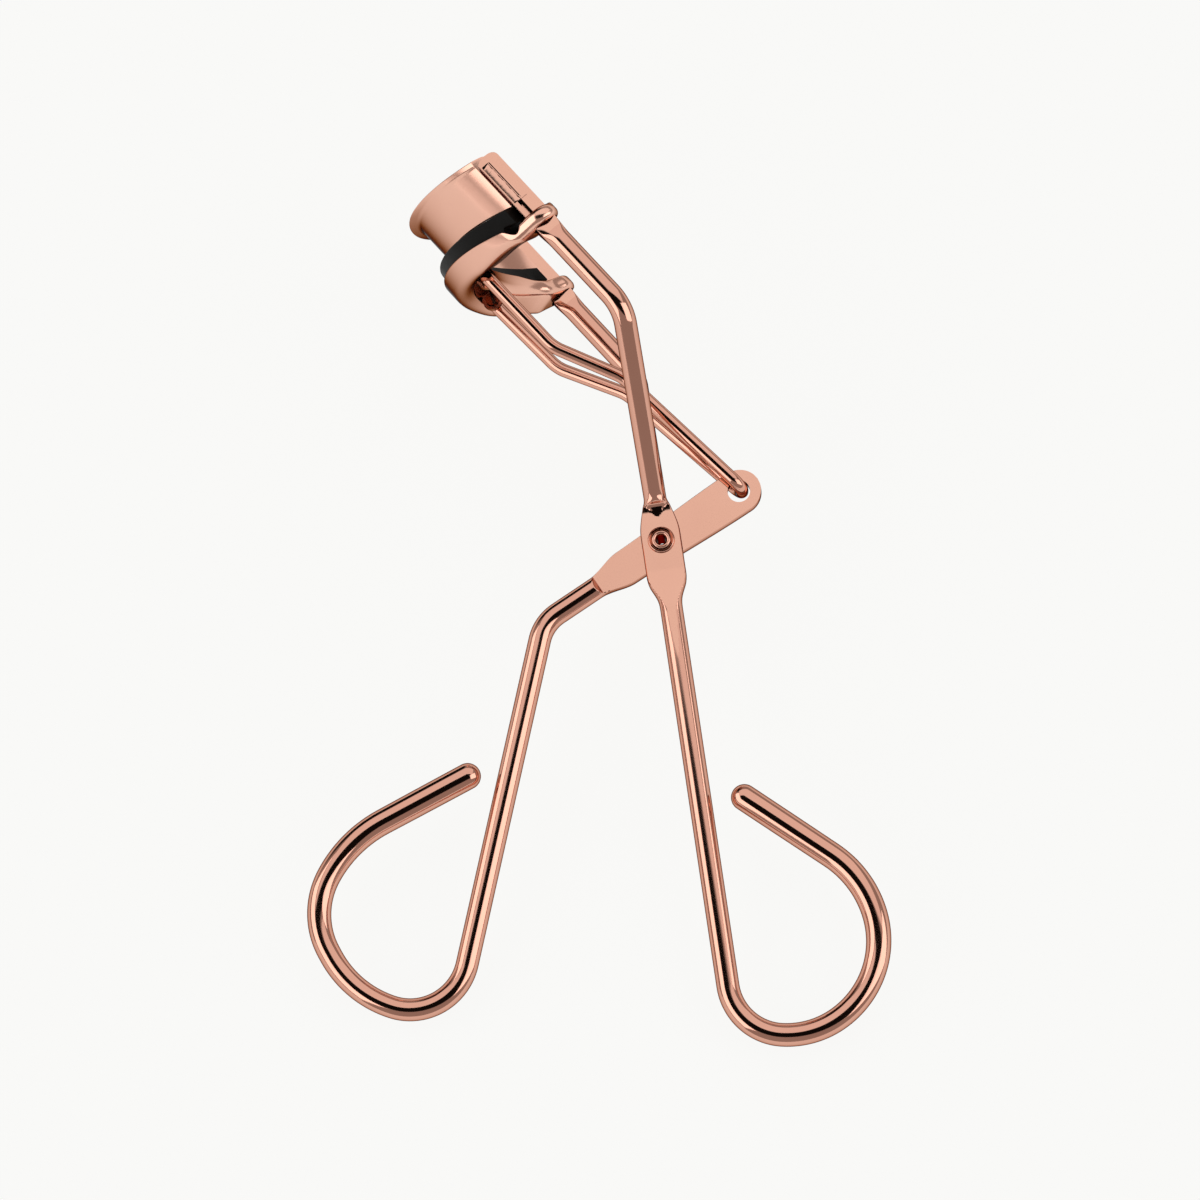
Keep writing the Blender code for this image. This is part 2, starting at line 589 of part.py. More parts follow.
def make_pad(slide, rubber):
    _, groove_out, groove_in, _ = channel_radii()
    outer = groove_out - STATIC_GAP
    inner = groove_in + STATIC_GAP
    rings = []
    for angle in spread(-PAD_HEAD_ANGLE, PAD_HEAD_ANGLE, JAW_STEPS):
        over_ear = ramp(abs(angle), PAD_ROOT_ANGLE, PAD_HEAD_ANGLE - PAD_ROOT_ANGLE)
        top = UPPER_EDGE - CLOSING_GAP - PAD_END_DROP * over_ear
        top += arc_rise(angle, JAW_SLOPE) - arc_rise(angle, CHANNEL_SLOPE)
        root = CHANNEL_BOTTOM + channel_lift(angle) + SHEET + PAD_FLOOR_GAP
        low = root + (CHANNEL_TOP + STATIC_GAP - root) * min(1.0, over_ear * 6.0)
        profile = [(inner, low), (outer, low)]
        profile += [(outer - PAD_CROWN * (1.0 - math.cos(a)), top - PAD_CROWN * (1.0 - math.sin(a)))
                    for a in spread(0.0, math.pi / 2, 3)]
        profile += [(inner + PAD_CROWN * (1.0 - math.cos(a)), top - PAD_CROWN * (1.0 - math.sin(a)))
                    for a in spread(math.pi / 2, 0.0, 3)]
        rings.append([arc_point(radius, angle, level, CHANNEL_SLOPE) for radius, level in profile])
    add("lash_pad", loft(rings), slide, rubber)


def lug_reach():
    """Outer faces of the bracket's lugs, from the middle of the tool."""
    return HOOK_SPREAD - HOOK_BEND_RADIUS - STATIC_GAP


def web_level():
    """Top of the bracket's web along the rails, close under the pad at the lugs."""
    rise = arc_rise(math.asin(lug_reach() / (JAW_RADIUS - CHANNEL_WIDTH / 2)), CHANNEL_SLOPE)
    return CHANNEL_BOTTOM + rise + SHEET + PAD_FLOOR_GAP - STATIC_GAP


def hook_point():
    """Middle of the axis on which the link's hooks turn."""
    return jaw_point(HOOK_OUT, web_level() - HOOK_DROP, 0.0)


def make_bracket(slide, plate):
    """Clevis: a rounded bar across the tool, slotted in the middle to leave a web and two lugs."""
    outer = lug_reach()

    def lift(point, across):
        return jaw_point(HOOK_OUT + point[0], web_level() + point[1], across)

    outline = [(LUG_RADIUS * math.cos(a), LUG_RADIUS * math.sin(a) - HOOK_DROP)
               for a in spread(math.pi, 2 * math.pi, 10)]
    outline += [(BRACKET_OUTSIDE, -BRACKET_WEB), (BRACKET_OUTSIDE, 0.0), (-BRACKET_INSIDE, 0.0)]
    bracket = add("link_bracket", prism(outline, -outer, outer, lift), slide, plate)
    wide = 4 * LUG_RADIUS
    deep = -4 * HOOK_DROP
    below = [(-wide, -BRACKET_WEB), (wide, -BRACKET_WEB), (wide, deep), (-wide, deep)]
    inner = outer - LUG_THICK
    change(bracket, add("bracket_gap", prism(below, -inner, inner, lift), slide), "DIFFERENCE")
    hole = cylinder(hook_point(), ACROSS, HOOK_HOLE, 4 * outer)
    change(bracket, add("hook_hole", hole, slide), "DIFFERENCE")


def link_corners():
    """Corners of the hairpin on the near side, from the hook's tip to the turn in the lever hole."""
    eye = heading(LEVER_HEADING) * (LEVER_ARM + LINK_EASE)
    hook = hook_point()
    plan = [hook, hook - JAW_DIR * KNEE_IN - RAIL_DIR * KNEE_DOWN,
            eye + JAW_DIR * ELBOW_OUT + RAIL_DIR * ELBOW_UP, eye]
    marks = lengths(plan)
    turn = LEVER_BLADE_THICK / 2 + BLADE_GAP + LINK_WIRE / 2
    half = [HOOK_SPREAD + (turn - HOOK_SPREAD) * mark / marks[-1] for mark in marks]
    tip = plan[0] + ACROSS * (HOOK_SPREAD - HOOK_LENGTH)
    return [tip] + [point + ACROSS * h for point, h in zip(plan, half)], turn


def make_link(link, plate):
    near, turn = link_corners()
    far = [Vector((p.x, p.y, -p.z)) for p in near]
    radii = [HOOK_BEND_RADIUS, LINK_BEND_RADIUS, LINK_BEND_RADIUS, turn * 0.93]
    path = filleted(near + far[::-1], radii + radii[::-1])
    sections = [round_section(LINK_WIRE / 2, LINK_SIDES)] * len(path)
    add("link_wire", loft(rings_along(path, sections, JAW_DIR)), link, plate)


def make_rivet(tool, plate):
    """Turned profile: bore, rolled head, shank, rolled head."""
    grip = FRAME_LAYER + FRAME_BLADE_THICK / 2 + STATIC_GAP
    bore, shank, head = RIVET_BORE / 2, RIVET_SHANK / 2, RIVET_HEAD / 2
    roll = [(bore + (head - bore) * (1.0 - math.cos(a)) / 2, grip + RIVET_HEAD_RISE * math.sin(a))
            for a in spread(0.0, math.pi, 8)]
    half = [(bore, 0.0)] + roll + [(shank, grip), (shank, 0.0)]
    profile = half + [(r, -z) for r, z in half[::-1]][1:-1]
    bm = bmesh.new()
    points = [bm.verts.new((r, 0.0, z)) for r, z in profile]
    edges = [bm.edges.new((a, b)) for a, b in zip(points, points[1:] + points[:1])]
    bmesh.ops.spin(bm, geom=points + edges, axis=ACROSS, cent=(0.0, 0.0, 0.0), angle=2 * math.pi, steps=24,
                   use_merge=True)
    bmesh.ops.remove_doubles(bm, verts=bm.verts, dist=0.001 * MM)
    bmesh.ops.recalc_face_normals(bm, faces=bm.faces)
    add("pivot_rivet", bm, tool, plate)


def rest_pose():
    """Turn and shift of the tool as it lies on a table: both loops and the far ear touch down."""
    lever_loop = bent(bent(Vector(), LEVER_HEADING + 180.0, (LEVER_ELBOW,), 0.0)[-1],
                      LEVER_HEADING + 180.0 + LEVER_ELBOW[2], LEVER_LOOP, LEVER_LOOP_END)
    frame_loop = bent(ACROSS * FRAME_LAYER, FRAME_HEADING, FRAME_LOOP, FRAME_LOOP_END)
    reach = ROD + SLIDE_GAP + EAR_WALL
    ear = [jaw_point(u, level + EAR_SLOPE * u, -RAIL_SPREAD + v) for u, v in round_section(reach, 24)
           for level in (EAR_LOW, EAR_LOW + EAR_THICK)]
    up = ACROSS.copy()
    for _ in range(12):
        feet = [min(group, key=up.dot) for group in (lever_loop, frame_loop, ear)]
        feet[0] = feet[0] - up * ROD
        feet[1] = feet[1] - up * ROD
        up = (feet[1] - feet[0]).cross(feet[2] - feet[0]).normalized()
    forward = Vector((0.0, 1.0, 0.0))
    forward = (forward - up * forward.dot(up)).normalized()
    right = forward.cross(up)
    turn = Matrix((right, forward, up))
    return turn, feet[0]


def build():
    for thing in list(bpy.data.objects):
        bpy.data.objects.remove(thing)
    polished = finish("rose_gold_polished", (0.80, 0.42, 0.32), 0.12, 1.0)
    satin = finish("rose_gold_satin", (0.82, 0.46, 0.36), 0.28, 1.0)
    rubber = finish("black_silicone", (0.012, 0.012, 0.012), 0.5, 0.0)
    tool = empty("tool", None, (0.0, 0.0, 0.0))
    lever = empty("lever_pivot", tool, (0.0, 0.0, 0.0))
    slide = empty("jaw_slide", tool, jaw_point(0.0, EAR_LOW, 0.0))
    link = empty("link_hinge", tool, hook_point())
    make_front_frame(tool, polished)
    make_rear_frame(tool, polished)
    make_lever(lever, polished)
    make_upper_jaw(tool, satin)
    make_lower_jaw(slide, satin)
    make_pad(slide, rubber)
    make_bracket(slide, satin)
    make_link(link, polished)
    make_rivet(tool, polished)
    turn, foot = rest_pose()
    tool.matrix_world = turn.to_4x4()
    bpy.context.view_layer.update()
    low, high = reach_of_nodes()
    shift = Vector((-(low.x + high.x) / 2, -(low.y + high.y) / 2, -low.z))
    tool.matrix_world = Matrix.Translation(shift) @ turn.to_4x4()
    bpy.context.view_layer.update()


def reach_of_nodes():
    """Lowest and highest corner of all the pieces in the world."""
    graph = bpy.context.evaluated_depsgraph_get()
    corners = []
    for thing in bpy.context.scene.objects:
        if thing.type == "MESH" and not thing.hide_render:
            shown = thing.evaluated_get(graph)
            corners += [thing.matrix_world @ vertex.co for vertex in shown.data.vertices]
    low = Vector([min(c[i] for c in corners) for i in range(3)])
    high = Vector([max(c[i] for c in corners) for i in range(3)])
    return low, high


build()
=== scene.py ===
"""Looks of a hand-held eyelash curler in polished rose-gold plate, on a pale studio floor."""
import json
import math

import bmesh
import bpy
from mathutils import Matrix, Vector


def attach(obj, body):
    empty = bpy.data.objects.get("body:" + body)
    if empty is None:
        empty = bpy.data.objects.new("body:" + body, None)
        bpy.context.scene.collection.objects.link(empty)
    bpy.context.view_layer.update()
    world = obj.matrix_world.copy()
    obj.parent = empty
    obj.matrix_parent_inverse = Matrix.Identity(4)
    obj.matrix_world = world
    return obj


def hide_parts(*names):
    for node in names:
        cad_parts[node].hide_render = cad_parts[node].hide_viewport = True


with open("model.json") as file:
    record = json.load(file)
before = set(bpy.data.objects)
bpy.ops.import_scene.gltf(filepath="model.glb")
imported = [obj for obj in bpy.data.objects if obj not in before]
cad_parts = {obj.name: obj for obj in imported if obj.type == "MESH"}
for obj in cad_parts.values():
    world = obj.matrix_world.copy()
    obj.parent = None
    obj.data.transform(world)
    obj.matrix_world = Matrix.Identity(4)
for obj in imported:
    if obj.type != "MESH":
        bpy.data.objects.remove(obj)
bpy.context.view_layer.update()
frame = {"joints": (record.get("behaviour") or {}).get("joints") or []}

# Front frame wire: one length of plated steel wire that makes the near rail, the near rod, the flat
# front blade at the pivot, the right handle and its finger loop. It is bent round pins, then blade
# and rail end are pressed flat in a die, and the rail end is slotted for the upper jaw's tab.
mm = 0.001
joints = {joint["name"]: joint for joint in frame["joints"]}
pivot = Vector(joints["lever_hinge"]["pos_m"])
across = Vector(joints["lever_hinge"]["axis"]).normalized()
rail_up = Vector(joints["jaw_slide"]["axis"]).normalized()
rail_out = across.cross(rail_up)
rail_heading = 131.74
rail_offset = 13.24 * mm
rail_spread = 15.5 * mm
rail_top = 44.05 * mm
rail_bend = 20.45 * mm
rail_bend_radius = 5.0 * mm
rail_flat_length = 13.1 * mm
rail_flat_ramp = 2.6 * mm
rail_flat_width = 2.75 * mm
rail_flat_thick = 2.0 * mm
rail_squareness = 3.8
rail_end_round = 0.95 * mm
rail_end_power = 2.4
rail_end_least = 0.0001
rail_steps = (20, 8, 24)
frame_wire = 2.6 * mm
wire_sides = 72
bend_step = 2.5
parallel = 0.99
loop_tip_wire = 3.05 * mm
loop_tip_step = 6
loop_end_steps = 6
frame_heading = -81.85
frame_layer = 1.55 * mm
pivot_rise = 4.9 * mm
pivot_bend_radius = 5.0 * mm
blade_half = 2.29 * mm
blade_thick = 1.2 * mm
blade_grows = (-6.0 * mm, 5.2 * mm)
blade_shrinks = (4.1 * mm, 4.2 * mm)
blade_step = 0.08 * mm
press_stretch = 3.0
flat_slack = 0.01 * mm
nose_tip = -2.8 * mm
nose_spread = 0.83
nose_rise = 0.13
nose_rounds = (1.3 * mm, 1.1 * mm)
flank_rise = 1.2
tongue_narrows = (3.4 * mm, 4.7 * mm)
tongue_rounds = (5.2 * mm, 3.4 * mm)
tongue_rise = 0.56 * mm
tongue_runout = 0.024
tongue_runs = ((8.6 * mm, 108), (6.4 * mm, 20))
edge_soft = 0.1 * mm
frame_loop = ((51.85 * mm, 6.5 * mm, 78.6), (0.0, 10.0 * mm, 37.2), (0.0, 10.8 * mm, 71.2),
              (0.0, 12.2 * mm, 40.5))
frame_loop_end = 11.8 * mm
crease = 35.0
hole_sides = 64


def heading(degrees):
    """Direction in the plane of the tool."""
    return Matrix.Rotation(math.radians(degrees - rail_heading), 3, across) @ rail_up


def by_rails(out, along, over):
    """Place given out from the rails, along them from the pivot's foot, and across the tool."""
    return pivot + rail_up * along + rail_out * (out - rail_offset) + across * over


def ramp(value, start, length):
    """0 before start, 1 past start + length, smooth between."""
    t = min(max((value - start) / length, 0.0), 1.0)
    return t * t * (3.0 - 2.0 * t)


def stand(place, axes):
    """Matrix that puts a thing at a place, with its axes along three directions."""
    return Matrix.Translation(place) @ Matrix(axes).transposed().to_4x4()


def upright(place, along):
    """Matrix that puts a thing at a place, with its Z axis along a direction."""
    return Matrix.Translation(place) @ along.to_track_quat("Z", "Y").to_matrix().to_4x4()


class Wire:
    """Wire on the bender: fed straight or wrapped round a pin, with a ring of points per step."""

    def __init__(self, place, along, diameter, sides):
        self.mesh = bmesh.new()
        self.place, self.along, self.fed = place.copy(), along.normalized(), 0.0
        self.half = diameter / 2
        side = across.orthogonal() if abs(across.dot(self.along)) > parallel else across
        side = side.cross(self.along).normalized()
        lie = stand(place, (side, self.along.cross(side), self.along))
        self.verts = bmesh.ops.create_circle(self.mesh, segments=sides, radius=self.half,
                                             matrix=lie)["verts"]
        self.edges = list(self.mesh.edges)
        bmesh.ops.contextual_create(self.mesh, geom=self.edges)
        self.rings = []
        self.note()

    def note(self):
        """Keeps the ring just made, with its place, direction and length of wire."""
        self.rings.append((self.verts, self.place.copy(), self.along.copy(), self.fed))

    def push(self):
        """One more ring on the end of the wire, still lying on the last one."""
        grown = bmesh.ops.extrude_edge_only(self.mesh, edges=self.edges)["geom"]
        self.verts = [item for item in grown if isinstance(item, bmesh.types.BMVert)]
        fresh = set(self.verts)
        self.edges = [item for item in grown if isinstance(item, bmesh.types.BMEdge)
                      and fresh.issuperset(item.verts)]

    def feed(self, length, steps=1):
        """A straight run."""
        for _ in range(steps):
            self.push()
            shift = self.along * length / steps
            bmesh.ops.translate(self.mesh, verts=self.verts, vec=shift)
            self.place += shift
            self.fed += length / steps
            self.note()

    def wrap(self, radius, degrees, pin):
        """A bend round a pin."""
        centre = self.place + pin.cross(self.along) * math.copysign(radius, degrees)
        steps = max(2, math.ceil(abs(degrees) / bend_step))
        step = Matrix.Rotation(math.radians(degrees / steps), 3, pin)
        for _ in range(steps):
            self.push()
            bmesh.ops.rotate(self.mesh, verts=self.verts, cent=centre, matrix=step)
            self.place = centre + step @ (self.place - centre)
            self.along = step @ self.along
            self.fed += radius * math.radians(abs(degrees) / steps)
            self.note()

    def through(self, corners, radii, fine=0.0):
        """Straight runs with rounded corners; the last run goes to its end in fine steps."""
        for corner, after, radius in zip(corners, corners[1:], radii):
            leave = (after - corner).normalized()
            turn = self.along.angle(leave)
            self.feed((corner - self.place).length - radius * math.tan(turn / 2))
            self.wrap(radius, math.degrees(turn), self.along.cross(leave).normalized())
        last = (corners[-1] - self.place).length
        self.feed(last, math.ceil(last / fine) if fine else 1)

    def loop(self, bends, end, started):
        """Finger loop: straight runs, the first already started, each with its bend; free end."""
        for run, radius, turn in bends:
            if run > started:
                self.feed(run - started)
            self.wrap(radius, turn, across)
            started = 0.0
        self.feed(end, loop_end_steps)

    def press(self, shape):
        """Reshapes each ring: shape(fed, u, v) gives the new place, and whether it is on a flat."""
        flats = set()
        for verts, place, along, fed in self.rings:
            side = across.cross(along).normalized()
            up = along.cross(side)
            for vert in verts:
                offset = vert.co - place
                u, v, flat = shape(fed, offset.dot(side) / self.half, offset.dot(up) / self.half)
                vert.co = place + side * u + up * v
                if flat:
                    flats.add(vert)
        for face in self.mesh.faces:
            face.material_index = int(flats.issuperset(face.verts))

    def swell(self, diameter):
        """The last third grows slowly to the free end, which is rounded off as a half ball."""
        length = self.fed / 3
        for verts, place, _, fed in self.rings:
            grow = 1.0 + (diameter / 2 / self.half - 1.0) * ramp(fed, self.fed - length, length)
            for vert in verts:
                vert.co = place + (vert.co - place) * grow
        last = 0.0
        for angle in map(math.radians, range(loop_tip_step, 90, loop_tip_step)):
            self.push()
            shift = self.along * (math.sin(angle) - math.sin(last)) * diameter / 2
            self.place += shift
            bmesh.ops.translate(self.mesh, verts=self.verts, vec=shift)
            grow = math.cos(angle) / math.cos(last)
            bmesh.ops.scale(self.mesh, verts=self.verts, vec=(grow, grow, grow),
                            space=Matrix.Translation(-self.place))
            last = angle

    def close(self):
        """Caps the end and hands over the mesh."""
        bmesh.ops.contextual_create(self.mesh, geom=self.edges)
        bmesh.ops.recalc_face_normals(self.mesh, faces=self.mesh.faces)
        return self.mesh


def smooth(mesh, sharp):
    """Smooth shading, broken at edges sharper than an angle in degrees."""
    mesh.shade_smooth()
    mesh.set_sharp_from_angle(angle=math.radians(sharp))


def piece(name, bm, *finishes, sharp=crease):
    """Object at the origin from a finished mesh, shaded smooth but for its sharp edges."""
    mesh = bpy.data.meshes.new(name)
    bm.to_mesh(mesh)
    bm.free()
    for finish in finishes:
        mesh.materials.append(finish)
    smooth(mesh, sharp)
    thing = bpy.data.objects.new(name, mesh)
    bpy.context.scene.collection.objects.link(thing)
    return thing


def cut(thing, bm):
    """Takes a cutter's shape out of a piece for good."""
    bmesh.ops.recalc_face_normals(bm, faces=bm.faces)
    tool = piece("cutter", bm, thing.data.materials[0])
    step = thing.modifiers.new("cut", "BOOLEAN")
    step.operation = "DIFFERENCE"
    step.solver = "EXACT"
    step.object = tool
    bpy.context.view_layer.update()
    graph = bpy.context.evaluated_depsgraph_get()
    whole = thing.data
    thing.data = bpy.data.meshes.new_from_object(thing.evaluated_get(graph))
    thing.modifiers.clear()
    thing.data.name = whole.name
    smooth(thing.data, crease)
    bpy.data.meshes.remove(whole)
    bpy.data.objects.remove(tool)


def box_along(centre, axes, sizes):
    """Block with its edges along three given axes."""
    bm = bmesh.new()
    bmesh.ops.create_cube(bm, size=1.0,
                          matrix=stand(centre, axes) @ Matrix.Diagonal((*sizes, 1.0)))
    return bm


def drill(centre, radius, length, along=across):
    """Round cutter, square to the tool's plane unless another direction is given."""
    bm = bmesh.new()
    bmesh.ops.create_cone(bm, cap_ends=True, segments=hole_sides, radius1=radius, radius2=radius,
                          depth=length, matrix=upright(centre, along))
    return bm


class Value:
    """A shader socket that can be used in arithmetic; without a socket, a start for new nodes."""

    def __init__(self, tree, socket=None):
        self.tree, self.socket = tree, socket

    def node(self, kind, settings=None, output=0, **inputs):
        """Adds a node: its settings, then its sockets by name or, as i0, by number."""
        made = self.tree.nodes.new(kind)
        for key, setting in (settings or {}).items():
            setattr(made, key, setting)
        for key, given in inputs.items():
            name = int(key[1:]) if key[1:].isdigit() else key.replace("_", " ")
            if isinstance(given, Value):
                self.tree.links.new(given.socket, made.inputs[name])
            else:
                made.inputs[name].default_value = given
        return Value(self.tree, made.outputs[output])

    def math(self, operation, a, b):
        """A Math node on two values or numbers."""
        return self.node("ShaderNodeMath", {"operation": operation}, i0=a, i1=b)

    def __add__(self, other):
        return self.math("ADD", self, other)

    def __sub__(self, other):
        return self.math("SUBTRACT", self, other)

    def __rsub__(self, other):
        return self.math("SUBTRACT", other, self)

    def __mul__(self, other):
        return self.math("MULTIPLY", self, other)

    def __truediv__(self, other):
        return self.math("DIVIDE", self, other)

    def __rtruediv__(self, other):
        return self.math("DIVIDE", other, self)

    def __pow__(self, other):
        return self.math("POWER", self, other)

    def __rpow__(self, other):
        return self.math("POWER", other, self)

    def mix(self, low, high):
        """Blends two colours by this value."""
        return self.node("ShaderNodeMix", {"data_type": "RGBA"}, 2, i0=self,
                         i6=(*low, 1.0), i7=(*high, 1.0))

    __radd__ = __add__
    __rmul__ = __mul__


def start_finish(name, roughness, metallic):
    """New material: its shader node and its object coordinates in millimetres."""
    finish = bpy.data.materials.new(name)
    finish.use_nodes = True
    shader = finish.node_tree.nodes["Principled BSDF"]
    shader.inputs["Roughness"].default_value = roughness
    shader.inputs["Metallic"].default_value = metallic
    place = Value(finish.node_tree).node("ShaderNodeTexCoord", output="Object")
    scaled = place.node("ShaderNodeVectorMath", {"operation": "SCALE"}, Vector=place,
                        Scale=1.0 / mm)
    return finish, shader, scaled


def feed_socket(shader, socket, value):
    """Links a value to one of a shader's sockets."""
    value.tree.links.new(value.socket, shader.inputs[socket])


# Painted shade: a near-black edge tint that darkens the metal's reflections along its rims.
painted_rim_shade = (0.06, 0.04, 0.035)


def rose_gold(name, colour, deep, roughness, grain):
    """Rose-gold plate: colour that drifts a little, a fine grain in its polish, painted shade in
    the reflections at its rims.
    """
    finish, shader, place = start_finish(name, roughness, 1.0)
    drift = place.node("ShaderNodeTexNoise", Vector=place, Scale=0.22, Detail=2.0)
    feed_socket(shader, "Base Color", drift.mix(deep, colour))
    fine = place.node("ShaderNodeTexNoise", Vector=place, Scale=9.0, Detail=3.0)
    feed_socket(shader, "Roughness", fine * grain + (roughness - grain / 2))
    # Painted shade: the edge tint darkens reflections at grazing rims.
    shader.inputs["Specular Tint"].default_value = (*painted_rim_shade, 1.0)
    return finish


polished = rose_gold("rose_gold_polished", (0.73, 0.395, 0.297), (0.685, 0.357, 0.268), 0.08, 0.05)
pressed = rose_gold("rose_gold_pressed", (0.795, 0.452, 0.338), (0.76, 0.422, 0.314), 0.09, 0.04)
blade_down = heading(frame_heading)
front_layer = pivot + across * frame_layer


def frame_to_pivot(layer, over):
    """Frame wire from the top of its rail, over the rod, to the pivot."""
    wire = Wire(by_rails(0.0, rail_top, over), -rail_up, frame_wire, wire_sides)
    plain = rail_flat_length - rail_end_round - rail_flat_ramp
    for length, steps in zip((rail_end_round, plain, rail_flat_ramp), rail_steps):
        wire.feed(length, steps)
    wire.through([by_rails(0.0, rail_bend, over), layer - blade_down * pivot_rise, layer],
                 (rail_bend_radius, pivot_bend_radius), blade_step)
    return wire


def soft_least(first, second):
    """The lesser of two heights, with the edge between them eased."""
    share = min(max(0.5 + (second - first) / edge_soft / 2, 0.0), 1.0)
    return second + (first - second) * share - edge_soft / 2 * share * (1.0 - share)


def end_width(share, power=2.0, least=0.0004):
    """How much of its full width a rounded end has, at this share of its rounding."""
    return max(1.0 - (1.0 - share) ** power, least) ** (1.0 / power)


def frame_section(at_pivot):
    """Section of a frame wire: rounded and flat rail end, round rod, nose, leaf-shaped blade."""
    half, cap = frame_wire / 2, blade_thick / 2

    def rail(fed, u, v):
        press = 1.0 - ramp(fed, rail_flat_length - rail_flat_ramp, rail_flat_ramp)
        width = half + (rail_flat_width / 2 - half) * press
        if fed < rail_end_round:
            width *= end_width(fed / rail_end_round, rail_end_power, rail_end_least)
        square = abs(v) * rail_squareness
        flat = math.copysign(min(square, 1.0), v) * rail_flat_thick / 2
        return u * width, v * half + (flat - v * half) * press, press > 0.5 and square >= 1.0

    def blade(below, u, v):
        grown = ramp(below, *blade_grows) * (1.0 - ramp(below, *blade_shrinks))
        width = half + (blade_half - half) * grown
        past = nose_tip - below
        as_round = max(ramp(past, *nose_rounds), ramp(below, *tongue_rounds))
        place = u * (width + (half - width) * as_round)
        ceiling = cap + tongue_rise * ramp(below, *tongue_narrows)
        ceiling += tongue_runout * max(below - sum(tongue_narrows), 0.0)
        if past > -edge_soft:
            flank = flank_rise * (past - abs(place) / nose_spread)
            ceiling = cap - soft_least(-soft_least(nose_rise * past, flank), 0.0)
            rod = math.sqrt(max(half ** 2 - min(abs(place), half) ** 2, cap ** 2))
            ceiling = min(ceiling, rod)
            ceiling += (half - ceiling) * as_round
        wall = abs(v) * (press_stretch * cap + (half - press_stretch * cap) * as_round)
        on_flat = wall > ceiling and (past < 0.0 or ceiling < cap + flat_slack)
        return place, math.copysign(min(wall, ceiling), v), on_flat

    return lambda fed, u, v: (rail(fed, u, v) if fed < at_pivot / 2
                              else blade(fed - at_pivot, u, v))


front_wire = frame_to_pivot(front_layer, rail_spread)
front_shape = frame_section(front_wire.fed)
for run, steps in tongue_runs:
    front_wire.feed(run, steps)
front_wire.loop(frame_loop, frame_loop_end, sum(run for run, _ in tongue_runs))
front_wire.press(front_shape)
front_wire.swell(loop_tip_wire)
front = piece("front_frame_wire", front_wire.close(), polished, pressed)
tab_low = 37.5 * mm
tab_high = 43.2 * mm
tab_out = 0.66 * mm
tab_thick = 0.8 * mm
slot_gap = 0.05 * mm
slot_low = 33.6 * mm
slot_out = 0.475 * mm
slot_width = 0.55 * mm
slot_depth = 1.4 * mm
burr_width = 0.2 * mm
burr_depth = 0.09 * mm
burr_overlap = 1.1
burr_up = 0.2 * mm
burr_short = 0.5 * mm
score_out = -0.18 * mm
score_length = 0.85 * mm
score_width = 0.09 * mm
score_depth = 0.06 * mm
rivet_shank = 2.0 * mm


def slot_rail(rail, side):
    """Slots a rail for the upper jaw's tab; its edge is dressed back where the tab is peened."""
    axes = (rail_out, rail_up, across * side)
    over = rail_spread * side
    face = over + rail_flat_thick / 2 * side
    middle = (tab_low + tab_high) / 2
    cut(rail, box_along(by_rails(tab_out, middle, over), axes,
                        (tab_thick + 2 * slot_gap, tab_high - tab_low, 2 * frame_wire)))
    cut(rail, box_along(by_rails(slot_out, (slot_low + tab_low) / 2, face), axes,
                        (slot_width, tab_low - slot_low + slot_gap, 2 * slot_depth)))
    lean = Matrix.Rotation(-math.atan(burr_depth / burr_width) * side, 3, rail_up)
    burr = by_rails(tab_out - tab_thick / 2 - burr_width / 2, middle + burr_up, face)
    cut(rail, box_along(burr + (lean @ across) * side * (burr_width - burr_depth) / 2,
                        (lean @ rail_out, rail_up, lean @ across * side),
                        (burr_width * burr_overlap, tab_high - tab_low - burr_short, burr_width)))
    cut(rail, box_along(by_rails(score_out, tab_low - score_width, face), axes,
                        (score_length, score_width, 2 * score_depth)))


slot_rail(front, 1.0)
cut(front, drill(front_layer, rivet_shank / 2, 4 * blade_thick))
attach(front, "frame")
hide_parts("front_frame")

# Rear frame wire: the same wire for the far rail and rod. It ends in a short rounded blade that
# lies behind the lever at the pivot.
rear_blade_end = 3.4 * mm
rear_blade_steps = 48
rear_layer = pivot - across * frame_layer
rear_wire = frame_to_pivot(rear_layer, -rail_spread)
rear_pivot = rear_wire.fed
rear_wire.feed(rear_blade_end, rear_blade_steps)


def rear_section(fed, u, v):
    """As the front wire, with a half-round end to the blade."""
    u_frame, v_frame, on_flat = frame_section(rear_pivot)(fed, u, v)
    left = rear_pivot + rear_blade_end - fed
    return u_frame * end_width(min(max(left, 0.0) / blade_half, 1.0)), v_frame, on_flat


rear_wire.press(rear_section)
rear = piece("rear_frame_wire", rear_wire.close(), polished, pressed)
slot_rail(rear, -1.0)
cut(rear, drill(rear_layer, rivet_shank / 2, 4 * blade_thick))
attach(rear, "frame")
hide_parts("rear_frame")

# Upper jaw: a curved steel plate with a turned-out lip along its top, rose-gold plated to a satin
# sheen. A tab at each end goes through the slot in its rail and is peened flush there.
jaw_radius = 18.05 * mm
jaw_axis_out = -math.sqrt(jaw_radius ** 2 - rail_spread ** 2)
jaw_steps = 160
corner_steps = 5
upper_edge = 37.15 * mm
upper_top = 44.6 * mm
upper_edge_slope = 0.53
upper_top_slope = 0.39
upper_edge_round = 0.15 * mm
lip_height = 0.75 * mm
lip_start = upper_top - lip_height
lip_flare = 1.1 * mm
lip_round = 0.25 * mm
lip_fold_round = 0.35 * mm
lip_fades = (math.radians(12.0), math.radians(38.0))
plate = 0.9 * mm
plate_sunk = 0.1 * mm
inner = jaw_radius - plate
rail_face = rail_spread - rail_flat_thick / 2 + plate_sunk
tab_gap = 0.1 * mm
tab_length = tab_high - tab_low - tab_gap
tab_foot = rail_face - 0.3 * mm
tab_face = rail_spread + rail_flat_thick / 2 - 0.02 * mm
tab_bevel = 0.05 * mm
tab_long_edge = 4.0 * mm
tab_cuts = 40
tab_head = 1.0 * mm
tab_slant = 0.4
peen_waves = ((0.028 * mm, 4.1 / mm, 0.0), (0.022 * mm, 9.7 / mm, 1.0))
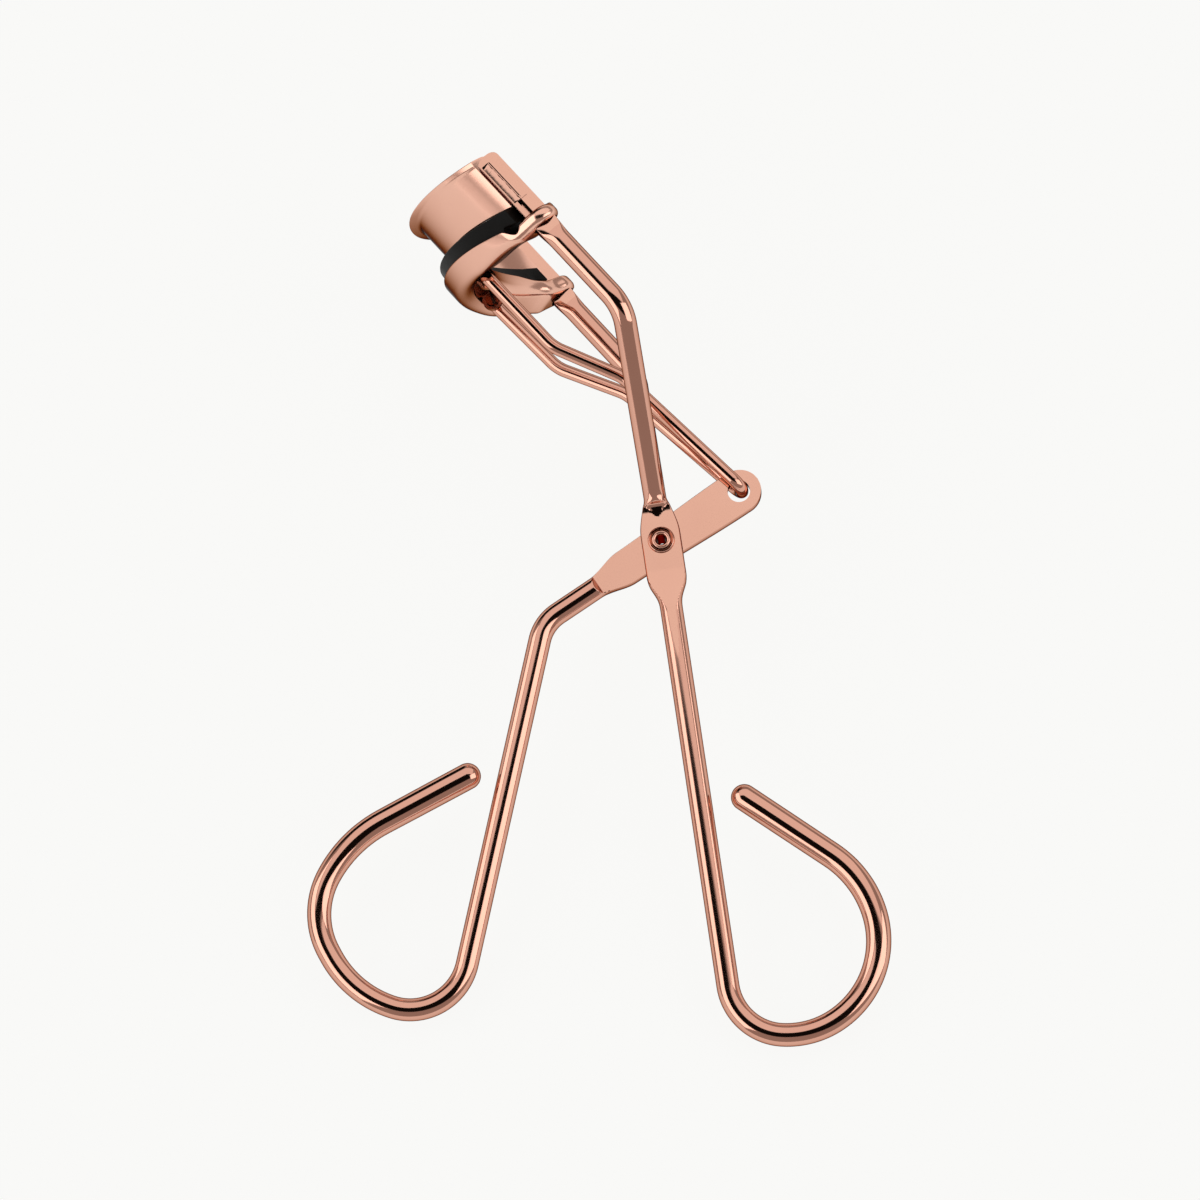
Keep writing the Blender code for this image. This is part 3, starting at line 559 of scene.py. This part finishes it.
peen_back = 0.02 * mm
satin = rose_gold("rose_gold_satin", (0.85, 0.5, 0.385), (0.81, 0.455, 0.345), 0.17, 0.05)


def jaw_profile(corners, roundings=()):
    """Closed outline in the jaws' radial plane; each corner is (radius, level) and is rounded."""
    bm = bmesh.new()
    verts = [bm.verts.new((radius, 0.0, level)) for radius, level in corners]
    bm.faces.new(verts)
    for vert, rounding in zip(verts, roundings):
        bmesh.ops.bevel(bm, geom=[vert], offset=rounding, offset_type="OFFSET",
                        segments=corner_steps, profile=0.5, affect="VERTICES", material=-1)
    bmesh.ops.delete(bm, geom=list(bm.faces), context="FACES_ONLY")
    return bm


def jaw_sweep(bm, angle, steps):
    """Turns a radial outline about the jaw axis, to the same angle on both sides; caps the ends."""
    origin = (0.0, 0.0, 0.0)
    bmesh.ops.rotate(bm, verts=bm.verts, cent=origin, matrix=Matrix.Rotation(-angle, 3, "Z"))
    first = list(bm.edges)
    turned = bmesh.ops.spin(bm, geom=list(bm.verts) + first, cent=origin, axis=(0.0, 0.0, 1.0),
                            angle=2 * angle, steps=steps, use_merge=False, use_duplicate=False)
    last = [item for item in turned["geom_last"] if isinstance(item, bmesh.types.BMEdge)]
    for loop in (first, last):
        bmesh.ops.contextual_create(bm, geom=loop)


def jaw_place(bm, shape):
    """Lays a swept jaw on the rails: shape gives the final radius, angle and level of a point."""
    for vert in bm.verts:
        x, y, level = vert.co
        radius, angle, along = shape(math.hypot(x, y), math.atan2(y, x), level)
        out = jaw_axis_out + radius * math.cos(angle)
        vert.co = by_rails(out, along, radius * math.sin(angle))
    bmesh.ops.recalc_face_normals(bm, faces=bm.faces)


def arc_rise(angle):
    """How far the jaws' middle line lies out from the rails at this angle."""
    return jaw_axis_out + jaw_radius * math.cos(angle)


def join(bm, other):
    """Adds another mesh to this one."""
    mesh = bpy.data.meshes.new("joined")
    other.to_mesh(mesh)
    other.free()
    bm.from_mesh(mesh)
    bpy.data.meshes.remove(mesh)


def upper_shape(radius, angle, level):
    """The lip dies out towards the rails, and the top slopes less than the lower edge."""
    share = (level - upper_edge) / (upper_top - upper_edge)
    flare = lip_flare * max(level - lip_start, 0.0) / lip_height
    slope = upper_edge_slope + (upper_top_slope - upper_edge_slope) * share
    faded = ramp(abs(angle), *lip_fades)
    return radius - flare * faded, angle, level + arc_rise(angle) * slope


upper = jaw_profile(
    [(jaw_radius, upper_edge), (jaw_radius, lip_start), (jaw_radius + lip_flare, upper_top),
     (inner + lip_flare, upper_top), (inner, lip_start), (inner, upper_edge)],
    [upper_edge_round, lip_fold_round, lip_round, lip_round, lip_fold_round, upper_edge_round])
jaw_sweep(upper, math.asin(rail_face / inner), jaw_steps)
jaw_place(upper, upper_shape)
for side in (1.0, -1.0):
    whole = list(upper.verts) + list(upper.edges) + list(upper.faces)
    bmesh.ops.bisect_plane(upper, geom=whole, plane_co=by_rails(0.0, 0.0, rail_face * side),
                           plane_no=across * side, clear_outer=True)
    opened = [edge for edge in upper.edges if edge.is_boundary]
    bmesh.ops.holes_fill(upper, edges=opened, sides=0)
    tab = box_along(by_rails(tab_out, tab_low + tab_length / 2, (tab_foot + tab_face) / 2 * side),
                    (rail_out, rail_up, across), (tab_thick, tab_length, tab_face - tab_foot))
    bmesh.ops.bevel(tab, geom=list(tab.edges), offset=tab_bevel, offset_type="OFFSET", segments=2,
                    profile=0.5, affect="EDGES", material=-1)
    long_edges = [edge for edge in tab.edges if edge.calc_length() > tab_long_edge]
    bmesh.ops.subdivide_edges(tab, edges=long_edges, cuts=tab_cuts, use_grid_fill=True)
    for vert in tab.verts:
        along = (vert.co - pivot).dot(rail_up)
        out = (vert.co - pivot).dot(rail_out) + rail_offset - tab_out
        if out < 0.0:
            peened = sum(depth * math.sin(along * rate + start)
                         for depth, rate, start in peen_waves)
            vert.co -= rail_out * (peened - peen_back)
        if along > tab_high - tab_head:
            vert.co -= rail_up * max(out + tab_thick / 4, 0.0) * tab_slant
    join(upper, tab)
upper_jaw = piece("upper_jaw_plate", upper, satin)
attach(upper_jaw, "frame")
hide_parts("upper_jaw")

# Lower jaw: a channel folded from thin steel sheet and plated like the upper jaw. Its floor has a
# window for the link, and runs out at each end into a thick rounded ear that slides on its rail.
sheet = 0.6 * mm
channel_width = 5.0 * mm
channel_out = jaw_radius + 2.55 * mm
channel_in = channel_out - channel_width
channel_mid = (channel_in + channel_out) / 2
channel_half = (channel_out - channel_in) / 2
channel_top = 34.55 * mm
channel_bottom = 31.35 * mm
channel_slope = 0.64
channel_taper = 1.0 * mm
taper_reach = 1.2
fold_round = 1.2 * mm
hollow_round = 0.6 * mm
rim_round = 0.2 * mm
floor_level = channel_bottom + sheet
floor_side = 0.8
rail_angle = math.asin(rail_spread / jaw_radius)
channel_angle = rail_angle - 2.73 * mm / jaw_radius
window_angle = math.asin(7.34 * mm / jaw_radius)
window_steps = 48
window_inset = 0.7 * mm
window_rim = 1.9 * mm
wall_side = 0.92
wall_ends = (-3.4 * mm, 1.2 * mm)
hollow_ends = (-4.5 * mm, 3.5 * mm)
rim_ends = (-7.0 * mm, 6.0 * mm)
ear_low = 33.5 * mm
ear_thick = 1.95 * mm
ear_neck = 0.95 * mm
ear_neck_ends = (-2.3 * mm, 0.9 * mm)
ear_slope = 0.15
ear_radius = 2.15 * mm
ear_narrows = (-3.4 * mm, 2.4 * mm)
ear_spread = 0.65
ear_tip = 0.03 * mm
ear_rim = 0.12
ear_power = 2.0
ear_squarer = 3.0
ear_inner_side = (0.0, 0.8)
ear_hole = 1.6 * mm
ear_steps = 400


def channel_loss(angle):
    """How much shallower the channel is at this angle than in its middle."""
    return channel_taper * ramp(abs(angle), channel_angle / 2, channel_angle / 2)


def lower_shape(radius, angle, level):
    """Channel, shallower to its ends; past the walls its floor thickens into round ears."""
    past_rail = (abs(angle) - rail_angle) * jaw_radius
    out = arc_rise(angle)
    side = (radius - channel_mid) / channel_half
    share = (channel_top - level) / (channel_top - channel_bottom)
    trough = level + out * channel_slope + channel_loss(angle) * min(share * taper_reach, 1.0)
    on_wall = share < 0.5
    on_top = on_wall or (level > floor_level - flat_slack and abs(side) < floor_side)
    spread = abs(side)
    if on_top and spread < wall_side:
        spread = spread * ear_spread / wall_side
    elif on_top:
        spread = ear_spread + (spread - wall_side) * (1.0 - ear_spread) / (1.0 - wall_side)
    narrow = ramp(past_rail, *ear_narrows)
    half = channel_half + (ear_radius - channel_half) * narrow
    from_rail = spread * ear_radius
    if past_rail > 0.0:
        half = math.sqrt(max(ear_radius ** 2 - past_rail ** 2, ear_tip ** 2))
        from_rail = math.hypot(past_rail, spread * half)
    edge = max(from_rail - ear_radius + ear_thick / 2, 0.0) / (ear_thick / 2)
    power = ear_power + (ear_squarer * ramp(-side, *ear_inner_side) if on_top else 0.0)
    bulge = ear_rim + (1.0 - ear_rim) * max(1.0 - edge ** power, 0.0) ** (1.0 / power)
    height = ear_thick
    if side > 0.0:
        height = ear_neck + (ear_thick - ear_neck) * ramp(past_rail, *ear_neck_ends)
    ear = ear_low + ear_slope * out + ear_thick / 2
    ear += (height - ear_thick / 2 if on_top else -ear_thick / 2) * bulge
    at_wall = ramp(past_rail, *wall_ends)
    at_hollow = ramp(past_rail, *(rim_ends if on_wall else hollow_ends))
    flat = at_hollow + (at_wall - at_hollow) * (side + 1.0) / 2
    place = side + (math.copysign(spread, side) - side) * flat
    middle = channel_mid + (jaw_radius - channel_mid) * narrow
    return middle + place * half, angle, trough + (ear - trough) * flat


def window_shape(radius, angle, level):
    """Follows the channel's floor."""
    return radius, angle, level + arc_rise(angle) * channel_slope


lower = jaw_profile(
    [(channel_in, channel_bottom), (channel_out, channel_bottom), (channel_out, channel_top),
     (channel_out - sheet, channel_top), (channel_out - sheet, floor_level),
     (channel_in + sheet, floor_level), (channel_in + sheet, channel_top),
     (channel_in, channel_top)],
    [fold_round, fold_round, rim_round, rim_round, hollow_round, hollow_round, rim_round,
     rim_round])
jaw_sweep(lower, rail_angle + ear_radius / jaw_radius, ear_steps)
jaw_place(lower, lower_shape)
lower_jaw = piece("lower_jaw_channel", lower, satin)
window_in, window_out = channel_in + window_inset, channel_out - window_rim
window_low, window_high = channel_bottom - sheet, floor_level + sheet
window = jaw_profile([(window_in, window_low), (window_out, window_low),
                      (window_out, window_high), (window_in, window_high)])
jaw_sweep(window, window_angle, window_steps)
jaw_place(window, window_shape)
cut(lower_jaw, window)
for side in (1.0, -1.0):
    ear_middle = by_rails(0.0, ear_low + ear_thick / 2, rail_spread * side)
    cut(lower_jaw, drill(ear_middle, ear_hole, 6 * ear_thick, rail_up))
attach(lower_jaw, "jaw")
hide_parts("lower_jaw")

# Lash pad: a strip of black silicone with rounded top edges, moulded to the curve of the jaws. It
# is pushed into the channel of the lower jaw and held there by its walls.
pad_floor_gap = 0.6 * mm
pad_gap = 0.1 * mm
pad_out = channel_out - sheet - pad_gap
pad_in = channel_in + sheet + pad_gap
pad_closing_gap = 0.14 * mm
pad_clear = 13.3 * mm
pad_top = upper_edge - pad_closing_gap
pad_top_round = 0.2 * mm
pad_root = floor_level + pad_floor_gap
pad_root_round = 0.1 * mm
pad_root_angle = rail_angle - 3.83 * mm / jaw_radius
pad_head_angle = rail_angle - 1.63 * mm / jaw_radius
pad_head_lift = 0.1 * mm
pad_head_step = 6.0


def silicone(name):
    """Soft black silicone: matt, faintly mottled, with a fine moulded skin."""
    finish, shader, place = start_finish(name, 0.5, 0.0)
    mottle = place.node("ShaderNodeTexNoise", Vector=place, Scale=0.6, Detail=4.0)
    feed_socket(shader, "Base Color", mottle.mix((0.003, 0.003, 0.0025), (0.008, 0.0075, 0.007)))
    feed_socket(shader, "Roughness", mottle * 0.2 + 0.4)
    shader.inputs["Specular IOR Level"].default_value = 0.08
    skin = place.node("ShaderNodeTexNoise", Vector=place, Scale=12.0, Detail=2.0)
    bump = place.node("ShaderNodeBump", Height=skin, Strength=0.08, Distance=0.05 * mm)
    feed_socket(shader, "Normal", bump)
    return finish


def pad_shape(radius, angle, level):
    """Follows the upper jaw's edge above and the channel's floor below, and stops over the ears."""
    over_ear = ramp(abs(angle), pad_root_angle, pad_head_angle - pad_root_angle)
    share = (level - pad_root) / (pad_top - pad_root)
    high = arc_rise(angle) * upper_edge_slope + pad_head_lift * over_ear
    loss = channel_loss(angle)
    low = arc_rise(angle) * channel_slope + loss
    low += (channel_top + 4 * pad_gap - pad_root - loss) * min(1.0, over_ear * pad_head_step)
    reach = max(math.asin(min(pad_clear / radius, 1.0)) / pad_head_angle, 1.0)
    return radius, angle * reach, level + low + (high - low) * share


rubber = silicone("black_silicone")
pad = jaw_profile([(pad_in, pad_root), (pad_out, pad_root), (pad_out, pad_top), (pad_in, pad_top)],
                  [pad_root_round, pad_root_round, pad_top_round, pad_top_round])
jaw_sweep(pad, pad_head_angle, jaw_steps)
jaw_place(pad, pad_shape)
strip = piece("lash_pad_strip", pad, rubber)
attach(strip, "jaw")
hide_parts("lash_pad")

# Lever: one length of wire for the left handle and its loop, pressed into a long flat blade with a
# square shoulder. The blade passes between the frame blades and carries the hole for the link.
lever_heading = 33.9
lever_arm = 10.7 * mm
lever_eye = 2.6 * mm
lever_half = 2.1 * mm
lever_thick = 1.5 * mm
lever_tapers = (lever_eye, lever_arm + 6.0 * mm)
lever_narrows = (5.0 * mm, 4.0 * mm)
lever_shoulder = 8.75 * mm
shoulder_rise = 0.9
shoulder_rounds = (lever_shoulder - 0.9 * mm, 1.5 * mm)
below_pivot = (4.5 * mm, 5.5 * mm)
lever_runs = ((lever_eye, 30), (lever_arm + below_pivot[0], 12), (below_pivot[1], 80))
lever_loop = ((14.4 * mm, 5.0 * mm, 43.8), (38.2 * mm, 6.55 * mm, -95.7), (0.0, 12.4 * mm, -43.2),
              (0.6 * mm, 9.2 * mm, -56.5), (0.0, 14.8 * mm, -34.1))
lever_loop_end = 10.95 * mm
link_hole = 2.6 * mm
lever_up = heading(lever_heading)
eye = pivot + lever_up * lever_arm


def lever_section(fed, u, v):
    """Round eye end, flat blade, square shoulder, round wire."""
    half, cap = frame_wire / 2, lever_thick / 2
    below = fed - lever_eye - lever_arm
    width = lever_eye + (lever_half - lever_eye) * ramp(fed, *lever_tapers)
    width = half + (width - half) * (1.0 - ramp(below, *lever_narrows))
    if fed < lever_eye:
        width *= end_width(fed / lever_eye)
    as_round = ramp(below, *shoulder_rounds)
    ceiling = cap + max(below - lever_shoulder, 0.0) * shoulder_rise
    wall = abs(v) * (press_stretch * cap + (half - press_stretch * cap) * as_round)
    on_flat = below < lever_shoulder and wall >= ceiling
    return u * width, math.copysign(min(wall, ceiling), v), on_flat


lever_wire = Wire(eye + lever_up * lever_eye, -lever_up, frame_wire, wire_sides)
for run, steps in lever_runs:
    lever_wire.feed(run, steps)
lever_wire.loop(lever_loop, lever_loop_end, sum(below_pivot))
lever_wire.press(lever_section)
lever_wire.swell(loop_tip_wire)
lever = piece("lever_wire", lever_wire.close(), polished, pressed)
cut(lever, drill(eye, link_hole / 2, 4 * lever_thick))
cut(lever, drill(pivot, rivet_shank / 2, 4 * lever_thick))
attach(lever, "lever")
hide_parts("lever_handle")

# Rivet: a plated steel tube through the three blades that the lever turns on. Its ends are rolled
# over into two rings, which hold the blades together.
rivet_grip = frame_layer + blade_thick / 2 + 0.02 * mm
rivet_inside = rivet_shank / 2 - 0.03 * mm
rivet_roll = ((0.56 * mm, 0.0), (0.56 * mm, 0.14 * mm), (0.66 * mm, 0.34 * mm),
              (0.78 * mm, 0.45 * mm), (0.92 * mm, 0.46 * mm), (1.05 * mm, 0.34 * mm),
              (1.13 * mm, 0.14 * mm), (1.2 * mm, 0.1 * mm), (1.28 * mm, 0.18 * mm),
              (1.38 * mm, 0.26 * mm), (1.48 * mm, 0.2 * mm), (1.55 * mm, 0.0),
              (rivet_inside, 0.0))
rivet_steps = 96
rivet_weld = 0.0005 * mm
rivet_crease = 50.0
rivet = bmesh.new()
outline = [(radius, rivet_grip + high) for radius, high in rivet_roll]
outline += [(radius, -level) for radius, level in reversed(outline)]
ring = [rivet.verts.new((radius, 0.0, level)) for radius, level in outline]
edges = [rivet.edges.new(pair) for pair in zip(ring, ring[1:] + ring[:1])]
bmesh.ops.spin(rivet, geom=ring + edges, cent=(0.0, 0.0, 0.0), axis=(0.0, 0.0, 1.0),
               angle=2 * math.pi, steps=rivet_steps, use_merge=True, use_duplicate=False)
bmesh.ops.remove_doubles(rivet, verts=rivet.verts, dist=rivet_weld)
bmesh.ops.recalc_face_normals(rivet, faces=rivet.faces)
bmesh.ops.transform(rivet, matrix=upright(pivot, across), verts=rivet.verts)
rivet_piece = piece("rivet_tube", rivet, polished, sharp=rivet_crease)
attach(rivet_piece, "frame")
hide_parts("pivot_rivet")

# Link bracket: a small clevis of pressed steel, plated like the jaws. It sits under the pad in the
# middle of the lower jaw, and its two lugs hold the hooked ends of the link.
hook_out = jaw_axis_out + jaw_radius - 0.95 * mm
hook_along = 36.094 * mm
hook_spread = 6.2 * mm
hook_bend = 1.1 * mm
lug_radius = 1.15 * mm
lug_thick = 0.8 * mm
lug_sides = 40
lug_out = hook_spread - hook_bend - 0.1 * mm
web_out = hook_out + 0.5 * mm
web_top = hook_along + 1.375 * mm
web_width = 1.75 * mm
web_thick = 0.4 * mm
bracket_axes = (rail_out, rail_up, across)
bracket = bmesh.new()
for side in (1.0, -1.0):
    lug = by_rails(hook_out, hook_along, (lug_out - lug_thick / 2) * side)
    bmesh.ops.create_cone(bracket, cap_ends=True, segments=lug_sides, radius1=lug_radius,
                          radius2=lug_radius, depth=lug_thick, matrix=stand(lug, bracket_axes))
join(bracket, box_along(by_rails(web_out, web_top - web_thick / 2, 0.0), bracket_axes,
                        (web_width, web_thick, 2 * lug_out)))
clevis = piece("link_clevis", bracket, satin)
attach(clevis, "jaw")
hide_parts("link_bracket")

# Link: a hairpin of thinner polished wire. Its hooked ends turn in the bracket, and its round turn
# goes through the hole in the lever's blade.
link_wire = 1.55 * mm
link_sides = 48
link_bend = 5.0 * mm
link_ease = 0.38 * mm
link_turn_ease = 0.93
hook_length = 2.4 * mm
blade_gap = 0.2 * mm
hook = by_rails(hook_out, hook_along, 0.0)
hook_leg = rail_out * 0.25 * mm + rail_up * 11.24 * mm
link_eye = pivot + lever_up * (lever_arm + link_ease)
link_leg = rail_out * 1.62 * mm + rail_up * 18.43 * mm
plan = [hook, hook - hook_leg, link_eye + link_leg, link_eye]
runs = [(b - a).length for a, b in zip(plan, plan[1:])]
link_turn = lever_thick / 2 + blade_gap + link_wire / 2
near = [hook + across * (hook_spread - hook_length)]
far = [hook - across * (hook_spread - hook_length)]
done = 0.0
for place, run in zip(plan, [0.0] + runs):
    done += run
    apart = hook_spread + (link_turn - hook_spread) * done / sum(runs)
    near.append(place + across * apart)
    far.append(place - across * apart)
bends = [hook_bend, link_bend, link_bend, link_turn * link_turn_ease]
hairpin = Wire(near[0], across, link_wire, link_sides)
hairpin.through(near[1:] + far[::-1], bends + bends[::-1])
link = piece("link_hairpin", hairpin.close(), polished)
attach(link, "link")
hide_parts("link_wire")

# Floor: a plain pale sheet of matt paper under the tool that runs out of sight. It glows pale to
# camera, glossy and transmission rays, so it looks evenly pale.
pale = (0.956, 0.956, 0.942)
floor_glow = 0.95
floor_half = 6.0
ground = bmesh.new()
bmesh.ops.create_grid(ground, x_segments=1, y_segments=1, size=floor_half)
paper, paper_shader, _ = start_finish("floor_paper", 0.9, 0.0)
paper_shader.inputs["Base Color"].default_value = (*pale, 1.0)
paper_shader.inputs["Specular IOR Level"].default_value = 0.0
tree = paper.node_tree
camera_ray, glossy_ray, clear_ray = (
    Value(tree).node("ShaderNodeLightPath", output=kind)
    for kind in ("Is Camera Ray", "Is Glossy Ray", "Is Transmission Ray"))
seen = (camera_ray + glossy_ray + clear_ray) * floor_glow
glow = seen.node("ShaderNodeEmission", Color=(*pale, 1.0), Strength=1.0)
matt = Value(tree, paper_shader.outputs[0])
blend = seen.node("ShaderNodeMixShader", i0=seen, i1=matt, i2=glow)
tree.links.new(blend.socket, tree.nodes["Material Output"].inputs["Surface"])
floor = piece("floor", ground, paper)

# Light: a pale studio. A wide panel hangs overhead, a bright softbox stands on each side with a low
# card by the left one, and a dark opening is left where the camera looks in.
view_dir = (heading(0.0) * 0.0538 - heading(90.0) * 0.2118 + across).normalized()
view_up = heading(90.0)
view_up = (view_up - view_dir * view_up.dot(view_dir)).normalized()
view_right = view_up.cross(view_dir)
light_distance = 1.1
room = (0.38, 0.342, 0.325)
opening = (0.006, 0.0055, 0.005)
opening_at = (-5.0, 2.5)
opening_size = (36.0, 20.2)
opening_tilt = -4.0
opening_edge = (0.96, 1.04)
doorway = (-55.0, 81.0)
doorway_size = (26.0, 12.0)
least_ahead = 0.02


def toward(right, up):
    """Direction so many degrees to the right of and above the line to the camera."""
    away = math.radians(math.hypot(right, up))
    spin = math.atan2(up, right)
    flat = view_right * math.cos(spin) + view_up * math.sin(spin)
    return flat * math.sin(away) + view_dir * math.cos(away)


def softbox(name, middle, end, half_long, half_short, strength):
    """Rectangular light that faces the pivot, its long side towards another direction."""
    facing = toward(*middle)
    along = toward(*end)
    along = (along - facing * along.dot(facing)).normalized()
    lamp = bpy.data.lights.new(name, "AREA")
    lamp.shape = "RECTANGLE"
    lamp.size = 2 * light_distance * math.tan(math.radians(half_long))
    lamp.size_y = 2 * light_distance * math.tan(math.radians(half_short))
    lamp.energy = strength * math.pi * lamp.size * lamp.size_y
    holder = bpy.data.objects.new(name, lamp)
    holder.matrix_world = stand(pivot + facing * light_distance,
                                (along, facing.cross(along), facing))
    bpy.context.scene.collection.objects.link(holder)


softbox("overhead_panel", (2.0, 50.8), (60.0, 37.0), 43.0, 29.0, 0.63)
softbox("left_softbox", (-57.0, -1.0), (-66.0, 40.0), 35.0, 19.0, 1.5)
softbox("left_low_card", (-71.0, -41.0), (-50.0, -58.0), 18.0, 9.0, 0.5)
softbox("right_softbox", (49.0, 2.0), (76.0, 14.0), 26.0, 18.0, 1.5)
world = bpy.data.worlds.new("studio")
bpy.context.scene.world = world
world.use_nodes = True
tree = world.node_tree
ray = Value(tree).node("ShaderNodeTexCoord", output="Generated")


def lean(axis):
    """How far the ray leans along an axis."""
    return ray.node("ShaderNodeVectorMath", {"operation": "DOT_PRODUCT"}, "Value", i0=ray, i1=axis)


def fade(value, start, end, **levels):
    """Goes smoothly from one level to another between two values."""
    return value.node("ShaderNodeMapRange", {"interpolation_type": "SMOOTHSTEP"}, Value=value,
                      From_Min=start, From_Max=end, **levels)


ahead = ray.math("MAXIMUM", lean(view_dir), least_ahead)
tilt = Matrix.Rotation(math.radians(opening_tilt), 3, view_dir)
offsets = []
for axis, middle, size in zip((tilt @ view_right, tilt @ view_up), opening_at, opening_size):
    place = lean(axis) / ahead - math.tan(math.radians(middle))
    place = place * (1.0 / math.tan(math.radians(size)))
    offsets.append(place * place)
reach = (offsets[0] * offsets[0] + offsets[1] * offsets[1]) ** 0.25
beside = fade(lean(toward(*doorway)), *(math.cos(math.radians(size)) for size in doorway_size),
              To_Min=1.0, To_Max=0.0)
shut = fade(reach, *opening_edge) * beside
tree.links.new(shut.mix(opening, room).socket, tree.nodes["Background"].inputs["Color"])

# Camera: a long lens, nearly square on to the flat of the blades. It aims a little below and to the
# left of the pivot, so that the whole tool is in the picture.
view_distance = 574.71 * mm
aim = pivot + heading(90.0) * 0.47 * mm - view_right * 7.126 * mm - view_up * 6.897 * mm
camera_data = bpy.data.cameras.new("camera")
camera_data.lens = 150.0
camera_data.sensor_width = 36.0
camera = bpy.data.objects.new("camera", camera_data)
camera.matrix_world = stand(aim + view_dir * view_distance, (view_right, view_up, view_dir))
bpy.context.scene.collection.objects.link(camera)
bpy.context.scene.camera = camera
bpy.context.scene.view_settings.view_transform = "Standard"
